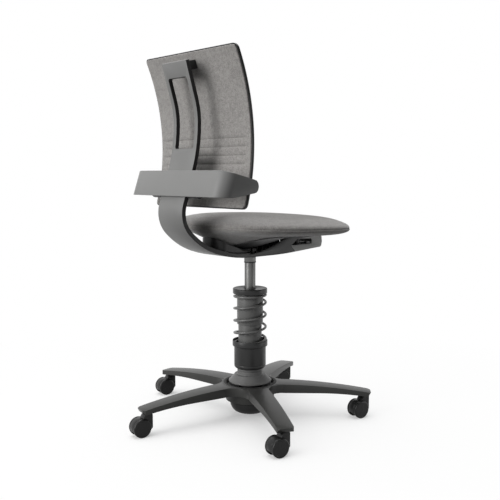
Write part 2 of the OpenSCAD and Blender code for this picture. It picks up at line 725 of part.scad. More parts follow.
// Height of the strip's inner face behind the column
function strip_top(y) = y < flat_end_y ? plate_z + strip_t
    : plate_z + low_bend_r - sqrt(pow(low_bend_r - strip_t, 2) - pow(y - flat_end_y, 2));
function keel_top(y) = seat_low(seat_f(0, y), 0, y) - keel_gap;

module seat_pan() {
    steps = 12;
    keel_ys = [for (i = [0 : steps]) keel_start_y + (keel_end_y - keel_start_y) * i / steps];
    color("#3c3c3b") {
        difference() {
            ring_solid(concat([for (f = pan_steps) seat_ring(f, false, -air)],
                [for (i = [3 : -1 : 0]) seat_ring(pan_steps[i], false, -air - pan_t)]),
                [0, seat_y, seat_low(0, 0, seat_y) - air], [0, seat_y, pan_low(0, 0, seat_y)], true);
            translate([-mech_half_w, mech_low_y, plate_z])
                cube([2 * mech_half_w, mech_high_y - mech_low_y, seat_lip + seat_bowl + seat_crown]);
        }
        intersection() {
            across(2 * keel_half_w) polygon(concat([for (y = keel_ys) [y, strip_top(y) + keel_gap]],
                [for (i = [steps : -1 : 0]) [keel_ys[i], keel_top(keel_ys[i])]]));
            linear_extrude(seat_seam_z) translate([0, (keel_start_y + keel_end_y) / 2])
                round_rect(2 * keel_half_w, keel_end_y - keel_start_y, keel_round);
        }
    }
}

spacer_r = 8;
function under_pan(x, y) = min([for (a = [0 : 45 : 315])
    pan_at(x + spacer_r * cos(a), y + spacer_r * sin(a))]) - air;

module seat_spacers() {
    color("#9a9a98") for (x = [-1, 1], y = seat_screw_ys) difference() {
        low = plate_low(y) + plate_t / 2;
        translate([x * seat_screw_x, y, low]) difference() {
            cylinder(r = spacer_r, h = under_pan(seat_screw_x, y) - low);
            translate([0, 0, -1]) cylinder(r = 3.2, h = 60);
        }
        across(strip_w) polygon(strip(plate_route, plate_t));
    }
}

module seat_screws() {
    color("#3a3a3a") for (x = [-1, 1], y = seat_screw_ys)
        translate([x * seat_screw_x, y, plate_low(y) - 3.6]) {
            cylinder(r = 6, h = 3);
            cylinder(r = 3, h = under_pan(seat_screw_x, y) - plate_low(y) + 2);
        }
}

lever_pivot_y = -45;
lever_pivot_z = lift_top_z + 8;
lever_low_z = pin_top_z + air;
lever_t = 5;
lever_w = 16;
lever_end_y = -196;
lever_pin_r = 2.5;
paddle_low = slot_low_z + 1;
paddle_h = 6.5;
paddle_w = 16;

module lever_bracket() {
    color("#5a5a5a") {
        difference() {
            for (s = [-1, 1]) translate([s * (lever_w / 2 + 2.5), 0, 0]) across(4)
                polygon([[lever_pivot_y - 9, plate_z + plate_t / 2],
                    [lever_pivot_y + 9, plate_z + plate_t / 2],
                    [lever_pivot_y + 5, lever_pivot_z + 4], [lever_pivot_y - 5, lever_pivot_z + 4]]);
            across(strip_w) polygon(strip(plate_route, plate_t));
        }
        translate([0, lever_pivot_y, lever_pivot_z]) rotate([0, 90, 0])
            cylinder(r = lever_pin_r, h = lever_w + 12, center = true);
    }
}

module height_lever() {
    paddle_x = -strip_w / 2 + 1.2;
    color("#1f1f1f") difference() {
        union() {
            translate([-lever_w / 2, lever_end_y, lever_low_z]) cube([lever_w, 6 - lever_end_y, lever_t]);
            translate([0, lever_pivot_y, lever_pivot_z]) rotate([0, 90, 0])
                cylinder(r = 5, h = lever_w, center = true);
            translate([-lever_w / 2, lever_end_y, lever_low_z])
                cube([lever_w, paddle_w, paddle_low - lever_low_z + 4]);
            translate([paddle_x, lever_end_y, paddle_low]) cube([lever_w / 2 - paddle_x, paddle_w, 4]);
            translate([paddle_x, lever_end_y - 1, paddle_low]) cube([9, paddle_w + 1, paddle_h]);
        }
        translate([0, lever_pivot_y, lever_pivot_z]) rotate([0, 90, 0])
            cylinder(r = lever_pin_r + run_clear, h = 2 * lever_w, center = true);
    }
}

// Local frame of the back pivot: Y points out of the strip, Z runs up along it
module at_pivot() {
    translate([0, pivot_y, pivot_z]) rotate([strip_lean, 0, 0]) children();
}

module pivot_shaft() {
    color("#a0a0a0") at_pivot() rotate([0, 90, 0])
        cylinder(r = shaft_r, h = 2 * sleeve_out_x + 2, center = true);
}

bar_wall = 3;
bar_gap = 4.5;
bar_face = strip_t / 2 + bar_gap + bar_wall;
bar_low = -14;
lug_in_x = strip_w / 2 + 1.5;
lug_out_x = lug_in_x + 14;
sleeve_out_x = lug_out_x + 22;
block_out_x = sleeve_out_x + 6;
block_low = 12;
block_front = 16;
block_face = strip_t / 2 + bar_gap;
torsion_r = 8;
wing_tip_round = 14;

// Plan of the bar: a flat rear face, round corners and forward wings
module bar_plan() {
    reach = 200;
    difference() {
        union() {
            translate([-bar_half_w + bar_corner, bar_face - bar_corner])
                square([2 * (bar_half_w - bar_corner), bar_corner]);
            translate([-bar_half_w, bar_face - reach]) square([2 * bar_half_w, reach - bar_corner]);
            for (s = [-1, 1])
                translate([s * (bar_half_w - bar_corner), bar_face - bar_corner]) circle(bar_corner);
        }
        hull_r = bar_corner - wing_t;
        translate([-bar_half_w + bar_corner, bar_face - bar_wall - bar_corner])
            square([2 * (bar_half_w - bar_corner), bar_corner]);
        translate([-bar_half_w + wing_t, bar_face - reach - 1])
            square([2 * (bar_half_w - wing_t), reach + 1 - bar_wall - hull_r]);
        for (s = [-1, 1]) translate([s * (bar_half_w - wing_t - hull_r), bar_face - bar_wall - hull_r])
            circle(hull_r);
    }
}

// Side view of the bar and its wings
bar_half_w = back_w / 2 + wing_clear;
bar_plan_h = 3.5 * bar_h;
module bar_side() {
    function at(n, t) = [pivot_y + n * cos(strip_lean) - t * sin(strip_lean),
        pivot_z + n * sin(strip_lean) + t * cos(strip_lean)];
    polygon(concat([at(bar_face + 1, bar_low), at(bar_face + 1, bar_h + bar_low),
        at(bar_face - 12, bar_h + bar_low)],
        [for (i = [0 : 6]) let (a = 90 + 180 * i / 6)
            [wing_tip_y + wing_tip_round + wing_tip_round * cos(a), wing_tip_z + wing_tip_h / 2 * sin(a)]],
        [at(bar_face - 40, bar_low + 12)]));
}

module rear_bar() {
    color("#8f8f8f") {
        intersection() {
            at_pivot() translate([0, 0, -bar_plan_h / 3]) linear_extrude(bar_plan_h) bar_plan();
            across(2 * bar_half_w + 2) bar_side();
        }
        at_pivot() for (t = [bar_low + bar_h - bar_wall]) difference() {
            translate([-bar_half_w + bar_corner, -4, t])
                cube([2 * (bar_half_w - bar_corner), bar_face - bar_wall + 4 + eps, bar_wall]);
            translate([0, 0, t + bar_wall / 2])
                cube([strip_w + 4, strip_t + 4, 3 * bar_wall], center = true);
        }
    }
}

block_top = bar_low + bar_h - bar_wall - 1;
block_screw_x = [-30, 30];
block_screw_ts = [24, 44];

module pivot_block() {
    color("#262626") at_pivot() difference() {
        union() {
            translate([-block_out_x, -block_front, block_low])
                cube([2 * block_out_x, block_front + block_face, block_top - block_low]);
            for (s = [-1, 1]) translate([s * (lug_in_x + block_out_x) / 2, 0, 0]) {
                translate([-(block_out_x - lug_in_x) / 2, -block_front, 0])
                    cube([block_out_x - lug_in_x, block_front + block_face, block_low]);
                translate([0, (block_face - block_front) / 2, 0]) rotate([0, 90, 0])
                    cylinder(r = (block_face + block_front) / 2, h = block_out_x - lug_in_x, center = true);
            }
        }
        translate([0, 0, block_low]) cube([strip_w, strip_t, 200], center = true);
        translate([0, 0, block_low]) cube([2 * lug_in_x, 60, 4], center = true);
        rotate([0, 90, 0]) cylinder(r = shaft_r + run_clear, h = 3 * block_out_x, center = true);
        for (s = [-1, 1]) translate([s * (lug_out_x + 50), 0, 0]) rotate([0, 90, 0])
            cylinder(r = torsion_r, h = 100, center = true);
        for (x = block_screw_x, t = block_screw_ts) translate([x, -block_front - 1, t]) rotate([-90, 0, 0])
            cylinder(r = 2.6, h = block_front);
    }
}

module torsion_sleeves() {
    color("#141414") at_pivot() for (s = [-1, 1]) translate([s * (lug_out_x + sleeve_out_x) / 2, 0, 0])
        rotate([0, 90, 0]) difference() {
            cylinder(r = torsion_r, h = sleeve_out_x - lug_out_x - 0.4, center = true);
            cylinder(r = shaft_r + run_clear, h = 60, center = true);
        }
}

module block_screws() {
    color("#7a7a7a") at_pivot() for (x = block_screw_x, t = block_screw_ts)
        translate([x, -block_front, t]) rotate([-90, 0, 0]) {
            translate([0, 0, -3]) cylinder(r = 4.5, h = 3);
            cylinder(r = 2.5, h = block_front - strip_t / 2);
        }
}

module spine() {
    window_w = strip_w - 2 * leg_w;
    color("#919191") difference() {
        across(strip_w) polygon(strip(spine_route, strip_t));
        translate([0, 0, (window_low_z + window_high_z) / 2]) rotate([90, 0, 0])
            linear_extrude(2 * spine_bend_r, center = true)
                round_rect(window_w, window_high_z - window_low_z, 6);
    }
}

// Places on the curved panel: d is the depth in front of its rear face
back_cy = back_near_y + back_bend_r;
function back_point(x, z, d) = [x, back_cy - sqrt(pow(back_bend_r + d, 2) - pow(z - back_near_z, 2)), z];
pad_t = 5;
board_t = 4;
back_corner = 12;
trim_w = 3;

// Curved plate between two depths, cut to a front outline
module back_plate(d_low, d_high) {
    intersection() {
        translate([0, back_cy, back_near_z]) rotate([0, 90, 0]) difference() {
            cylinder(r = back_bend_r + d_high, h = back_w, center = true, $fn = 180);
            cylinder(r = back_bend_r + d_low, h = back_w + 2, center = true, $fn = 180);
        }
        translate([0, back_near_y, (back_low_z + back_high_z) / 2]) rotate([90, 0, 0])
            linear_extrude(back_bend_r, center = true) children();
    }
}

back_h = back_high_z - back_low_z;

module back_board() {
    color("#4a4845") back_plate(pad_t, pad_t + board_t)
        round_rect(back_w - 2 * trim_w, back_h - 2 * trim_w, back_corner - trim_w);
}

module edge_trim() {
    color("#1e1e1e") back_plate(3, edge_t - 3) difference() {
        round_rect(back_w, back_h, back_corner);
        round_rect(back_w - 2 * trim_w, back_h - 2 * trim_w, back_corner - trim_w);
    }
}

// Sewn channels across the panel, counted up from the lowest
channels = 4;
channel_z = 717;
channel_step = 22;
channel_half_w = 165;
rear_edge = pad_t - 1;
rear_crown = 2;
channel_depth = 2.2;
channel_zs = [for (i = [0 : channels - 1]) channel_z + i * channel_step];
pad_margin = trim_w + air;
pad_corner = back_corner - pad_margin + 1;

function dome(u, w) = pow(max(1 - pow(abs(u), 6), 0), 0.5) * pow(max(1 - pow(abs(w), 6), 0), 0.5);
function groove(x, z) = abs(x) > channel_half_w ? 0
    : max([for (c = channel_zs) max(1 - abs(z - c) / 4, 0)]);

// Heights of the rows of points up the panel, closer beside the channels
pad_low = back_low_z + pad_margin;
pad_high = back_high_z - pad_margin;
pad_rows = concat([pad_low, pad_low + 1.5, pad_low + 4, pad_low + 9, pad_low + 22, 655, 680, 703],
    [for (c = channel_zs) each [c - 4.5, c, c + 4.5]], [810, 845, 885, 925, 960],
    [pad_high - 22, pad_high - 9, pad_high - 4, pad_high - 1.5, pad_high]);
pad_xs = [for (f = [-1, -0.985, -0.95, -0.885, -0.87, -0.6, -0.3, 0, 0.3, 0.6, 0.87, 0.885, 0.95, 0.985, 1])
    f * (back_w / 2 - pad_margin)];

pad_mid = (pad_low + pad_high) / 2;
pad_half_h = (pad_high - pad_low) / 2;
pad_half_w = back_w / 2 - pad_margin;

// Rise of a pillow's round side over its flat side
function swell(x, z, edge, crown) = let (u = x / pad_half_w, w = (z - pad_mid) / pad_half_h,
    side = edge > 0 ? 1 : -1)
    edge * dome(u, w) + crown * (1 - u * u) * (1 - w * w) - side * channel_depth * groove(x, z) * dome(u, w)
    + side * 0.6;

// The corners are round in front view, to suit the trim round them
function narrow(z) = let (e = max(pad_corner - min(z - pad_low, pad_high - z), 0))
    (pad_half_w - pad_corner + sqrt(pad_corner * pad_corner - e * e)) / pad_half_w;

// Pillow on the panel: the flat side lies at depth d0, the crowned side swells by the given amounts
module back_pillow(d0, edge, crown) {
    m = len(pad_rows);
    n = len(pad_xs);
    side = edge > 0 ? 1 : -1;
    flat_side = [for (z = pad_rows, x = pad_xs) back_point(x * narrow(z), z, d0)];
    round_side = [for (z = pad_rows, x = pad_xs)
        back_point(x * narrow(z), z, d0 + swell(x, z, edge, crown))];
    k = m * n;
    grid = [for (i = [0 : m - 2], j = [0 : n - 2]) let (a = i * n + j)
        each [[a, a + 1, a + n], [a + 1, a + n + 1, a + n]]];
    rim = concat([for (j = [0 : n - 2]) [j, j + 1]],
        [for (i = [0 : m - 2]) [i * n + n - 1, (i + 1) * n + n - 1]],
        [for (j = [n - 2 : -1 : 0]) [(m - 1) * n + j + 1, (m - 1) * n + j]],
        [for (i = [m - 2 : -1 : 0]) [(i + 1) * n, i * n]]);
    faces = concat([for (f = grid) f], [for (f = grid) [f[2] + k, f[1] + k, f[0] + k]],
        [for (e = rim) each [[e[1], e[0], e[0] + k], [e[1], e[0] + k, e[1] + k]]]);
    polyhedron(concat(flat_side, round_side), side > 0 ? [for (f = faces) [f[0], f[2], f[1]]] : faces);
}

module back_cushion() {
    color("#8a8886") back_pillow(pad_t + board_t + 2 * air, edge_t - pad_t - board_t - 1, back_crown);
}

module rear_pad() {
    color("#8a8886") back_pillow(pad_t - air, -rear_edge, -rear_crown);
}

block_w = 50;

block_inset = 3;
block_h = 24;

// Depth of the rear pad's outer face in the middle of the panel
function pad_face(z) = pad_t - air + swell(0, z, -rear_edge, -rear_crown) - air;

// Block from the spine's inner face to the rear pad
module top_block() {
    out = inset(spine_route[len(spine_route) - 1], strip_t);
    dy = sin(spine_top_turn);
    dz = cos(spine_top_turn);
    board_high = out[1] + 6;
    board_low = out[1] - 16;
    color("#2a2a2c") across(block_w) polygon([
        [out[0] - block_inset * dy, out[1] - block_inset * dz],
        [back_point(0, board_high, pad_face(board_high))[1], board_high],
        [back_point(0, board_low, pad_face(board_low))[1], board_low],
        [out[0] - (block_inset + block_h) * dy, out[1] - (block_inset + block_h) * dz]]);
}

wing_pin_z = wing_tip_z + 2;

module wing_pins() {
    p = back_point(0, wing_pin_z, pad_t + board_t / 2);
    pin_x = back_w / 2;
    color("#3a3a3a") for (s = [-1, 1]) translate([s * pin_x, p[1], p[2]]) rotate([0, 90 * s, 0])
        cylinder(r = 4, h = bar_half_w - wing_t - pin_x);
}

star_base();
hub_ring();
tilt_buffer();
dome_cover();
dome_screws();
castor_stems();
gimbal_ring();
column_foot();
lower_tube();
column_skirt();
spring_cup();
coil_spring();
upper_sleeve();
spring_cap();
guide_bush();
gas_cylinder();
lift_tube();
release_pin();
thrust_washer();
seat_boss();
seat_frame();
seat_spacers();
seat_pan();
seat_cushion();
seat_screws();
lever_bracket();
height_lever();
pivot_shaft();
rear_bar();
pivot_block();
torsion_sleeves();
block_screws();
spine();
top_block();
back_board();
back_cushion();
rear_pad();
edge_trim();
wing_pins();
for (k = [0 : arms - 1]) {
    castor_yoke(k);
    castor_axle(k);
    castor_wheel(k, 1);
    castor_wheel(k, -1);
}
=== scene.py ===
import math

import bmesh
import bpy
from mathutils import Matrix, Vector
from mathutils.bvhtree import BVHTree


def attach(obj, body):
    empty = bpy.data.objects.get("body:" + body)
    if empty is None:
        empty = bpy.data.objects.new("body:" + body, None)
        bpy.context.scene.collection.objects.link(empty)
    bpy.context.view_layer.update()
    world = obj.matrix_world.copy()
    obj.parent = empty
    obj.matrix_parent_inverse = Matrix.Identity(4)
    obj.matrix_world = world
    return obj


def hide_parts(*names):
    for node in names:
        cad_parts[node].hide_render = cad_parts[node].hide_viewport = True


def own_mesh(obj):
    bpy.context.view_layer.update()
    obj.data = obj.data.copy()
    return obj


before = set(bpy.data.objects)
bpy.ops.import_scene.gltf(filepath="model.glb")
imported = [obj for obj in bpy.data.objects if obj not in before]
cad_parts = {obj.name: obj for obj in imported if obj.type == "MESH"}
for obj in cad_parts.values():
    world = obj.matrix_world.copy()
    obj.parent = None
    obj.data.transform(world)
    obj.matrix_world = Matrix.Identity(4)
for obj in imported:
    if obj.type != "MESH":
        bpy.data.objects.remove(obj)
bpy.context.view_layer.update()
scene = bpy.context.scene

# ---- Studio
# A pale floor that runs out into a white surround, large soft lamps behind the chair and above it,
# and two weak fills, so that the coats show their own grey. The camera stands at the photo's place.
CAMERA_PLACE = (-1.5309, 1.4043, 0.6926)
CAMERA_HEADING = (0.737, -0.676)
CAMERA_PITCH = math.radians(5.923)
LENS = 52.99
FLOOR_HALF = 6.0
FLOOR_GREY = "#f6f6f5"
FLOOR_BOUNCE = "#6a6a6a"
SURROUND = "#ffffff"
LAMPS = [
    # name, place, aimed at, size, power
    ("key", (0.55, 2.9, 1.5), (0, 0, 0.6), 2.3, 72),
    ("top", (0.3, 0.1, 2.9), (0, 0, 0.5), 2.8, 66),
    ("low", (0.5, 2.7, 0.5), (0, 0, 0.45), 1.2, 5),
    ("side", (-1.1, -0.9, 0.3), (0, -0.1, 0.5), 0.6, 2.2),
]
# One dark board to the chair's right, which keeps the faces on that side dark. The camera doesn't see
# it, and its low edge is clear of the floor, where it would draw a dark line.
FLAG_ENDS = ((-1.25, -1.45), (-1.25, 0.25))
FLAG_LOW = 0.32
FLAG_HIGH = 2.2
FLAG_GREY = "#151515"
ROOM_GREY = "#dfe1e3"
ROOM_LIGHT = 0.22
# The floor's white glow gives a share to the lit matte, a little near the chair and more where something stands
# close to it: the real shadow shows there, and a painted contact shadow darkens it further.
FADE_REACH = (0.4, 1.3)
FADE_SHARE = (0.93, 1.0)
CONTACT_REACH = 0.3
CONTACT_RANGE = (0.35, 0.95)
CONTACT_SHADOW_SHARE = (0.42, 1.0)


def linear(code):
    """sRGB hex to the linear colour that the shaders take."""
    parts = [int(code[i:i + 2], 16) / 255 for i in (1, 3, 5)]
    return tuple(c / 12.92 if c <= 0.04045 else ((c + 0.055) / 1.055) ** 2.4 for c in parts) + (1.0,)


def add(tree, kind, inputs=None, **settings):
    """One node with its settings. An input given as a socket is linked, anything else is its value."""
    made = tree.nodes.new(kind)
    for key, value in settings.items():
        setattr(made, key, value)
    for key, value in (inputs or {}).items():
        if isinstance(value, bpy.types.NodeSocket):
            tree.links.new(value, made.inputs[key])
        else:
            made.inputs[key].default_value = value
    return made


def calc(tree, operation, *values):
    """The result of one Math node."""
    return add(tree, "ShaderNodeMath", dict(enumerate(values)), operation=operation).outputs[0]


def spread(tree, value, to, source=(0.0, 1.0)):
    """A value spread from one range to another."""
    return add(tree, "ShaderNodeMapRange", {"Value": value, "From Min": source[0], "From Max": source[1],
                                            "To Min": to[0], "To Max": to[1]}).outputs[0]


def new_material(name):
    """An empty node material, with its tree and its output node."""
    material = bpy.data.materials.new(name)
    material.use_nodes = True
    tree = material.node_tree
    tree.nodes.clear()
    return material, tree, add(tree, "ShaderNodeOutputMaterial")


def placed(name, data):
    """A new object in the scene."""
    made = bpy.data.objects.new(name, data)
    scene.collection.objects.link(made)
    return made


def board(name, corners, material):
    """A flat sheet of the studio, which is no piece of the chair."""
    sheet = bpy.data.meshes.new(name)
    sheet.from_pydata(corners, [], [(0, 1, 2, 3)])
    sheet.materials.append(material)
    placed(name, sheet)


camera = placed("camera", bpy.data.cameras.new("camera"))
camera.data.lens = LENS
camera.location = CAMERA_PLACE
level = Vector((*CAMERA_HEADING, 0)).normalized()
aim = level * math.cos(CAMERA_PITCH) - Vector((0, 0, math.sin(CAMERA_PITCH)))
camera.rotation_euler = aim.to_track_quat("-Z", "Y").to_euler()
scene.camera = camera
scene.view_settings.view_transform = "Standard"

for name, place, target, size, power in LAMPS:
    lamp = placed(name, bpy.data.lights.new(name, "AREA"))
    lamp.data.shape = "DISK"
    lamp.data.size = size
    lamp.data.energy = power
    lamp.location = place
    lamp.rotation_euler = (Vector(target) - Vector(place)).to_track_quat("-Z", "Y").to_euler()

world = bpy.data.worlds.new("surround")
scene.world = world
world.use_nodes = True
sky = world.node_tree
sky.nodes.clear()
seen = add(sky, "ShaderNodeLightPath")
room = add(sky, "ShaderNodeBackground", {"Color": linear(ROOM_GREY), "Strength": ROOM_LIGHT})
white = add(sky, "ShaderNodeBackground", {"Color": linear(SURROUND), "Strength": 1.0})
direct = calc(sky, "MAXIMUM", seen.outputs["Is Camera Ray"], seen.outputs["Is Glossy Ray"])
shows = calc(sky, "MAXIMUM", direct, seen.outputs["Is Transmission Ray"])
mixed = add(sky, "ShaderNodeMixShader", {0: shows, 1: room.outputs[0], 2: white.outputs[0]})
add(sky, "ShaderNodeOutputWorld", {"Surface": mixed.outputs[0]})

paper, tree, out = new_material("floor_paper")
path = add(tree, "ShaderNodeLightPath")
direct = calc(tree, "MAXIMUM", path.outputs["Is Camera Ray"], path.outputs["Is Glossy Ray"])
# The studio's floor is dark beyond the picture, so it throws little light up.
cast = add(tree, "ShaderNodeMix", {0: path.outputs["Is Camera Ray"], 6: linear(FLOOR_BOUNCE), 7: linear(FLOOR_GREY)},
           data_type="RGBA")
matte = add(tree, "ShaderNodeBsdfDiffuse", {"Color": cast.outputs[2]})
glow = add(tree, "ShaderNodeEmission", {"Color": linear(SURROUND), "Strength": 1.0})
place = add(tree, "ShaderNodeTexCoord")
reach = add(tree, "ShaderNodeVectorMath", {0: place.outputs["Object"]}, operation="LENGTH")
fade = spread(tree, reach.outputs["Value"], FADE_SHARE, FADE_REACH)
# Ambient occlusion lowers the glow's share under and beside the chair's parts: a painted contact shadow.
near = add(tree, "ShaderNodeAmbientOcclusion", {"Distance": CONTACT_REACH}, samples=8)
clear = spread(tree, near.outputs["AO"], CONTACT_SHADOW_SHARE, CONTACT_RANGE)
share = calc(tree, "MULTIPLY", calc(tree, "MULTIPLY", fade, clear), direct)
both = add(tree, "ShaderNodeMixShader", {0: share, 1: matte.outputs[0], 2: glow.outputs[0]})
tree.links.new(both.outputs[0], out.inputs["Surface"])
board("floor", [(-FLOOR_HALF, -FLOOR_HALF, 0), (FLOOR_HALF, -FLOOR_HALF, 0), (FLOOR_HALF, FLOOR_HALF, 0),
                (-FLOOR_HALF, FLOOR_HALF, 0)], paper)

felt, tree, out = new_material("flag_felt")
dark = add(tree, "ShaderNodeBsdfDiffuse", {"Color": linear(FLAG_GREY)})
clear = add(tree, "ShaderNodeBsdfTransparent")
seen = add(tree, "ShaderNodeLightPath")
both = add(tree, "ShaderNodeMixShader", {0: seen.outputs["Is Camera Ray"], 1: dark.outputs[0], 2: clear.outputs[0]})
tree.links.new(both.outputs[0], out.inputs["Surface"])
near_end, far_end = FLAG_ENDS
board("flag_0", [(*near_end, FLAG_LOW), (*far_end, FLAG_LOW), (*far_end, FLAG_HIGH), (*near_end, FLAG_HIGH)], felt)

# ---- Star base
# One aluminium casting with five arms, blasted and powder coated in graphite. The coat has the
# fine orange peel of a satin powder, and the arms' edges are rounded where the casting was linished.
BASE_EDGE = 1.6
GRAPHITE = "#3e3e3c"
GRAPHITE_DEEP = "#343433"
PEEL_SIZE = 0.0014
EASE_ANGLE = 28
FLAT_ANGLE = 0.6


def finish_mesh(piece, material, smooth=32):
    """Gives a piece its material and smooth shading up to its edges."""
    piece.data.materials.clear()
    piece.data.materials.append(material)
    piece.data.shade_smooth()
    piece.data.set_sharp_from_angle(angle=math.radians(smooth))
    return piece


def baked(piece):
    """Turns a piece's modifiers into its plain mesh."""
    mesh = bpy.data.meshes.new_from_object(piece.evaluated_get(bpy.context.evaluated_depsgraph_get()))
    piece.modifiers.clear()
    piece.data = mesh
    return piece


def eased(piece, edge, segments=2):
    """Rounds a piece's edges by so many millimetres."""
    if edge:
        bevel = piece.modifiers.new("ease", "BEVEL")
        bevel.width = edge / 1000
        bevel.segments = segments
        bevel.limit_method = "ANGLE"
        bevel.angle_limit = math.radians(EASE_ANGLE)
        bevel.miter_outer = "MITER_ARC"
        baked(piece)
    return piece


def new_piece(name, work):
    """A piece from a bmesh that is in metres."""
    mesh = bpy.data.meshes.new(name)
    work.to_mesh(mesh)
    work.free()
    return placed(name, mesh)


def solid_copy(name, source, edge, material, segments=2):
    """A rounded copy of a CAD solid, with its doubles merged and its flats joined."""
    work = bmesh.new()
    work.from_mesh(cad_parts[source].data)
    bmesh.ops.remove_doubles(work, verts=work.verts, dist=1e-6)
    bmesh.ops.dissolve_limit(work, angle_limit=math.radians(FLAT_ANGLE), verts=work.verts, edges=work.edges)
    return finish_mesh(eased(new_piece(name, work), edge, segments), material)


def fit(piece, body, slot, *nodes):
    """Puts a piece on its body in place of the CAD nodes that it stands for."""
    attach(piece, body)
    if nodes:
        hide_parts(*nodes)


def noise(tree, place, scale, detail, **more):
    """Noise at the given coordinates. Gives its strength, from 0 to 1."""
    made = add(tree, "ShaderNodeTexNoise", {"Vector": place, "Scale": scale, "Detail": detail, **more})
    return made.outputs["Fac"]


def relief(tree, height, strength, distance):
    """A bump of the surface, by at most the distance in metres. Gives its normal."""
    made = add(tree, "ShaderNodeBump", {"Height": height, "Strength": strength, "Distance": distance})
    return made.outputs[0]


def coated(name, colour, deep, roughness, peel, gloss=0.3, bump=0.12):
    """Satin powder or paint on metal or plastic: an even colour with a slight drift, and a fine peel."""
    material, tree, out = new_material(name)
    place = add(tree, "ShaderNodeTexCoord").outputs["Object"]
    drift = noise(tree, place, 9.0, 3.0)
    grain = noise(tree, place, 1 / peel, 2.0)
    tint = add(tree, "ShaderNodeMix", {0: drift, 6: linear(deep), 7: linear(colour)}, data_type="RGBA")
    rough = spread(tree, grain, (roughness - 0.05, roughness + 0.07))
    normal = relief(tree, grain, bump, 0.0002)
    skin = add(tree, "ShaderNodeBsdfPrincipled", {"Base Color": tint.outputs[2], "Roughness": rough,
                                                  "Normal": normal, "Specular IOR Level": gloss})
    tree.links.new(skin.outputs[0], out.inputs["Surface"])
    return material


graphite_powder = coated("graphite_powder_coat", GRAPHITE, GRAPHITE_DEEP, 0.36, PEEL_SIZE, bump=0.14)
base_casting = solid_copy("base_casting", "star_base", BASE_EDGE, graphite_powder, segments=3)
fit(base_casting, "base", "graphite_cast", "star_base")

# ---- Hub trim
# A soft black ring lies in the hub's recess round the skirt, and a moulded nylon dome closes the hub
# from below on three screws. Under the ring a thick rubber buffer takes the column's lean.
BLACK_NYLON = "#2b2b2b"
RUBBER = "#2e2e2d"
DOME_RIM_R = 58
DOME_FLOOR_R = 27
DOME_TOP = 47
DOME_STRAIGHT = 8
DOME_BOTTOM = 9
DOME_WALL = 3
DOME_STEPS = 26
DOME_SCREW_R = 54
DOME_SCREW_Z = 38
RING_OUTLINE = [(76.3, 95), (76.3, 96.8), (73, 97.4), (69.2, 96.6), (68, 95.6), (68, 95)]
BUFFER_OUTLINE = [(60, 76), (60, 85), (35, 85), (35, 76)]


def lathe(name, profile, segments):
    """A turned piece from its closed outline of radii and heights, in millimetres."""
    work = bmesh.new()
    count = len(profile)
    rings = [[work.verts.new((r * math.cos(a) / 1000, r * math.sin(a) / 1000, z / 1000)) for r, z in profile]
             for a in (2 * math.pi * k / segments for k in range(segments))]
    for k in range(segments):
        here, there = rings[k], rings[(k + 1) % segments]
        for i in range(count):
            j = (i + 1) % count
            if profile[i][0] > 0 or profile[j][0] > 0:
                work.faces.new((here[i], there[i], there[j], here[j]))
    bmesh.ops.remove_doubles(work, verts=work.verts, dist=1e-7)
    bmesh.ops.recalc_face_normals(work, faces=work.faces)
    return new_piece(name, work)


def turned(name, outline, edge, material, segments=96):
    """A turned piece with its edges rounded, in its material."""
    return finish_mesh(eased(lathe(name, outline, segments), edge), material)


def moulded(name, colour, roughness, grain_size=0.0011, bump=0.25, gloss=0.3):
    """Moulded plastic or rubber: one colour through and through, with the fine grain of its tool."""
    material, tree, out = new_material(name)
    place = add(tree, "ShaderNodeTexCoord").outputs["Object"]
    grain = noise(tree, place, 1 / grain_size, 3.0)
    wear = noise(tree, place, 22.0, 4.0)
    rough = spread(tree, wear, (roughness - 0.08, roughness + 0.08))
    normal = relief(tree, grain, bump, 0.00015)
    skin = add(tree, "ShaderNodeBsdfPrincipled", {"Base Color": linear(colour), "Roughness": rough,
                                                  "Normal": normal, "Specular IOR Level": gloss})
    tree.links.new(skin.outputs[0], out.inputs["Surface"])
    return material


nylon = moulded("moulded_black_nylon", BLACK_NYLON, 0.44)
rubber = moulded("black_rubber", RUBBER, 0.68, 0.002, 0.4)


def dome_curve(rim, low):
    """Outline of the dome from its rim to its flat floor."""
    points = []
    for i in range(DOME_STEPS + 1):
        a = math.radians(90 * i / DOME_STEPS)
        points.append((DOME_FLOOR_R - (DOME_RIM_R - rim) + (DOME_RIM_R - DOME_FLOOR_R) * math.cos(a) ** 0.75,
                       DOME_TOP - DOME_STRAIGHT - (DOME_TOP - DOME_STRAIGHT - low) * math.sin(a) ** 1.35))
    return points


inner_rim = DOME_RIM_R - 9
dome_inside = [p for p in dome_curve(DOME_RIM_R - DOME_WALL, DOME_BOTTOM + DOME_WALL) if p[0] < inner_rim]
# A shallow groove runs round the rim below the hub.
dome_outline = ([(DOME_RIM_R, DOME_TOP), (DOME_RIM_R, DOME_TOP - 4), (DOME_RIM_R - 0.9, DOME_TOP - 4.4),
                 (DOME_RIM_R - 0.9, DOME_TOP - 5.4), (DOME_RIM_R, DOME_TOP - 5.8)]
                + dome_curve(DOME_RIM_R, DOME_BOTTOM) + [(0, DOME_BOTTOM), (0, DOME_BOTTOM + DOME_WALL)]
                + dome_inside[::-1] + [(inner_rim, DOME_TOP)])
fit(turned("hub_dome", dome_outline, 0, nylon), "base", "black_nylon", "dome_cover")
fit(turned("recess_ring", RING_OUTLINE, 0.3, rubber), "base", "black_rubber", "hub_ring")
fit(turned("lean_buffer", BUFFER_OUTLINE, 1.2, rubber), "base", "black_rubber", "tilt_buffer")

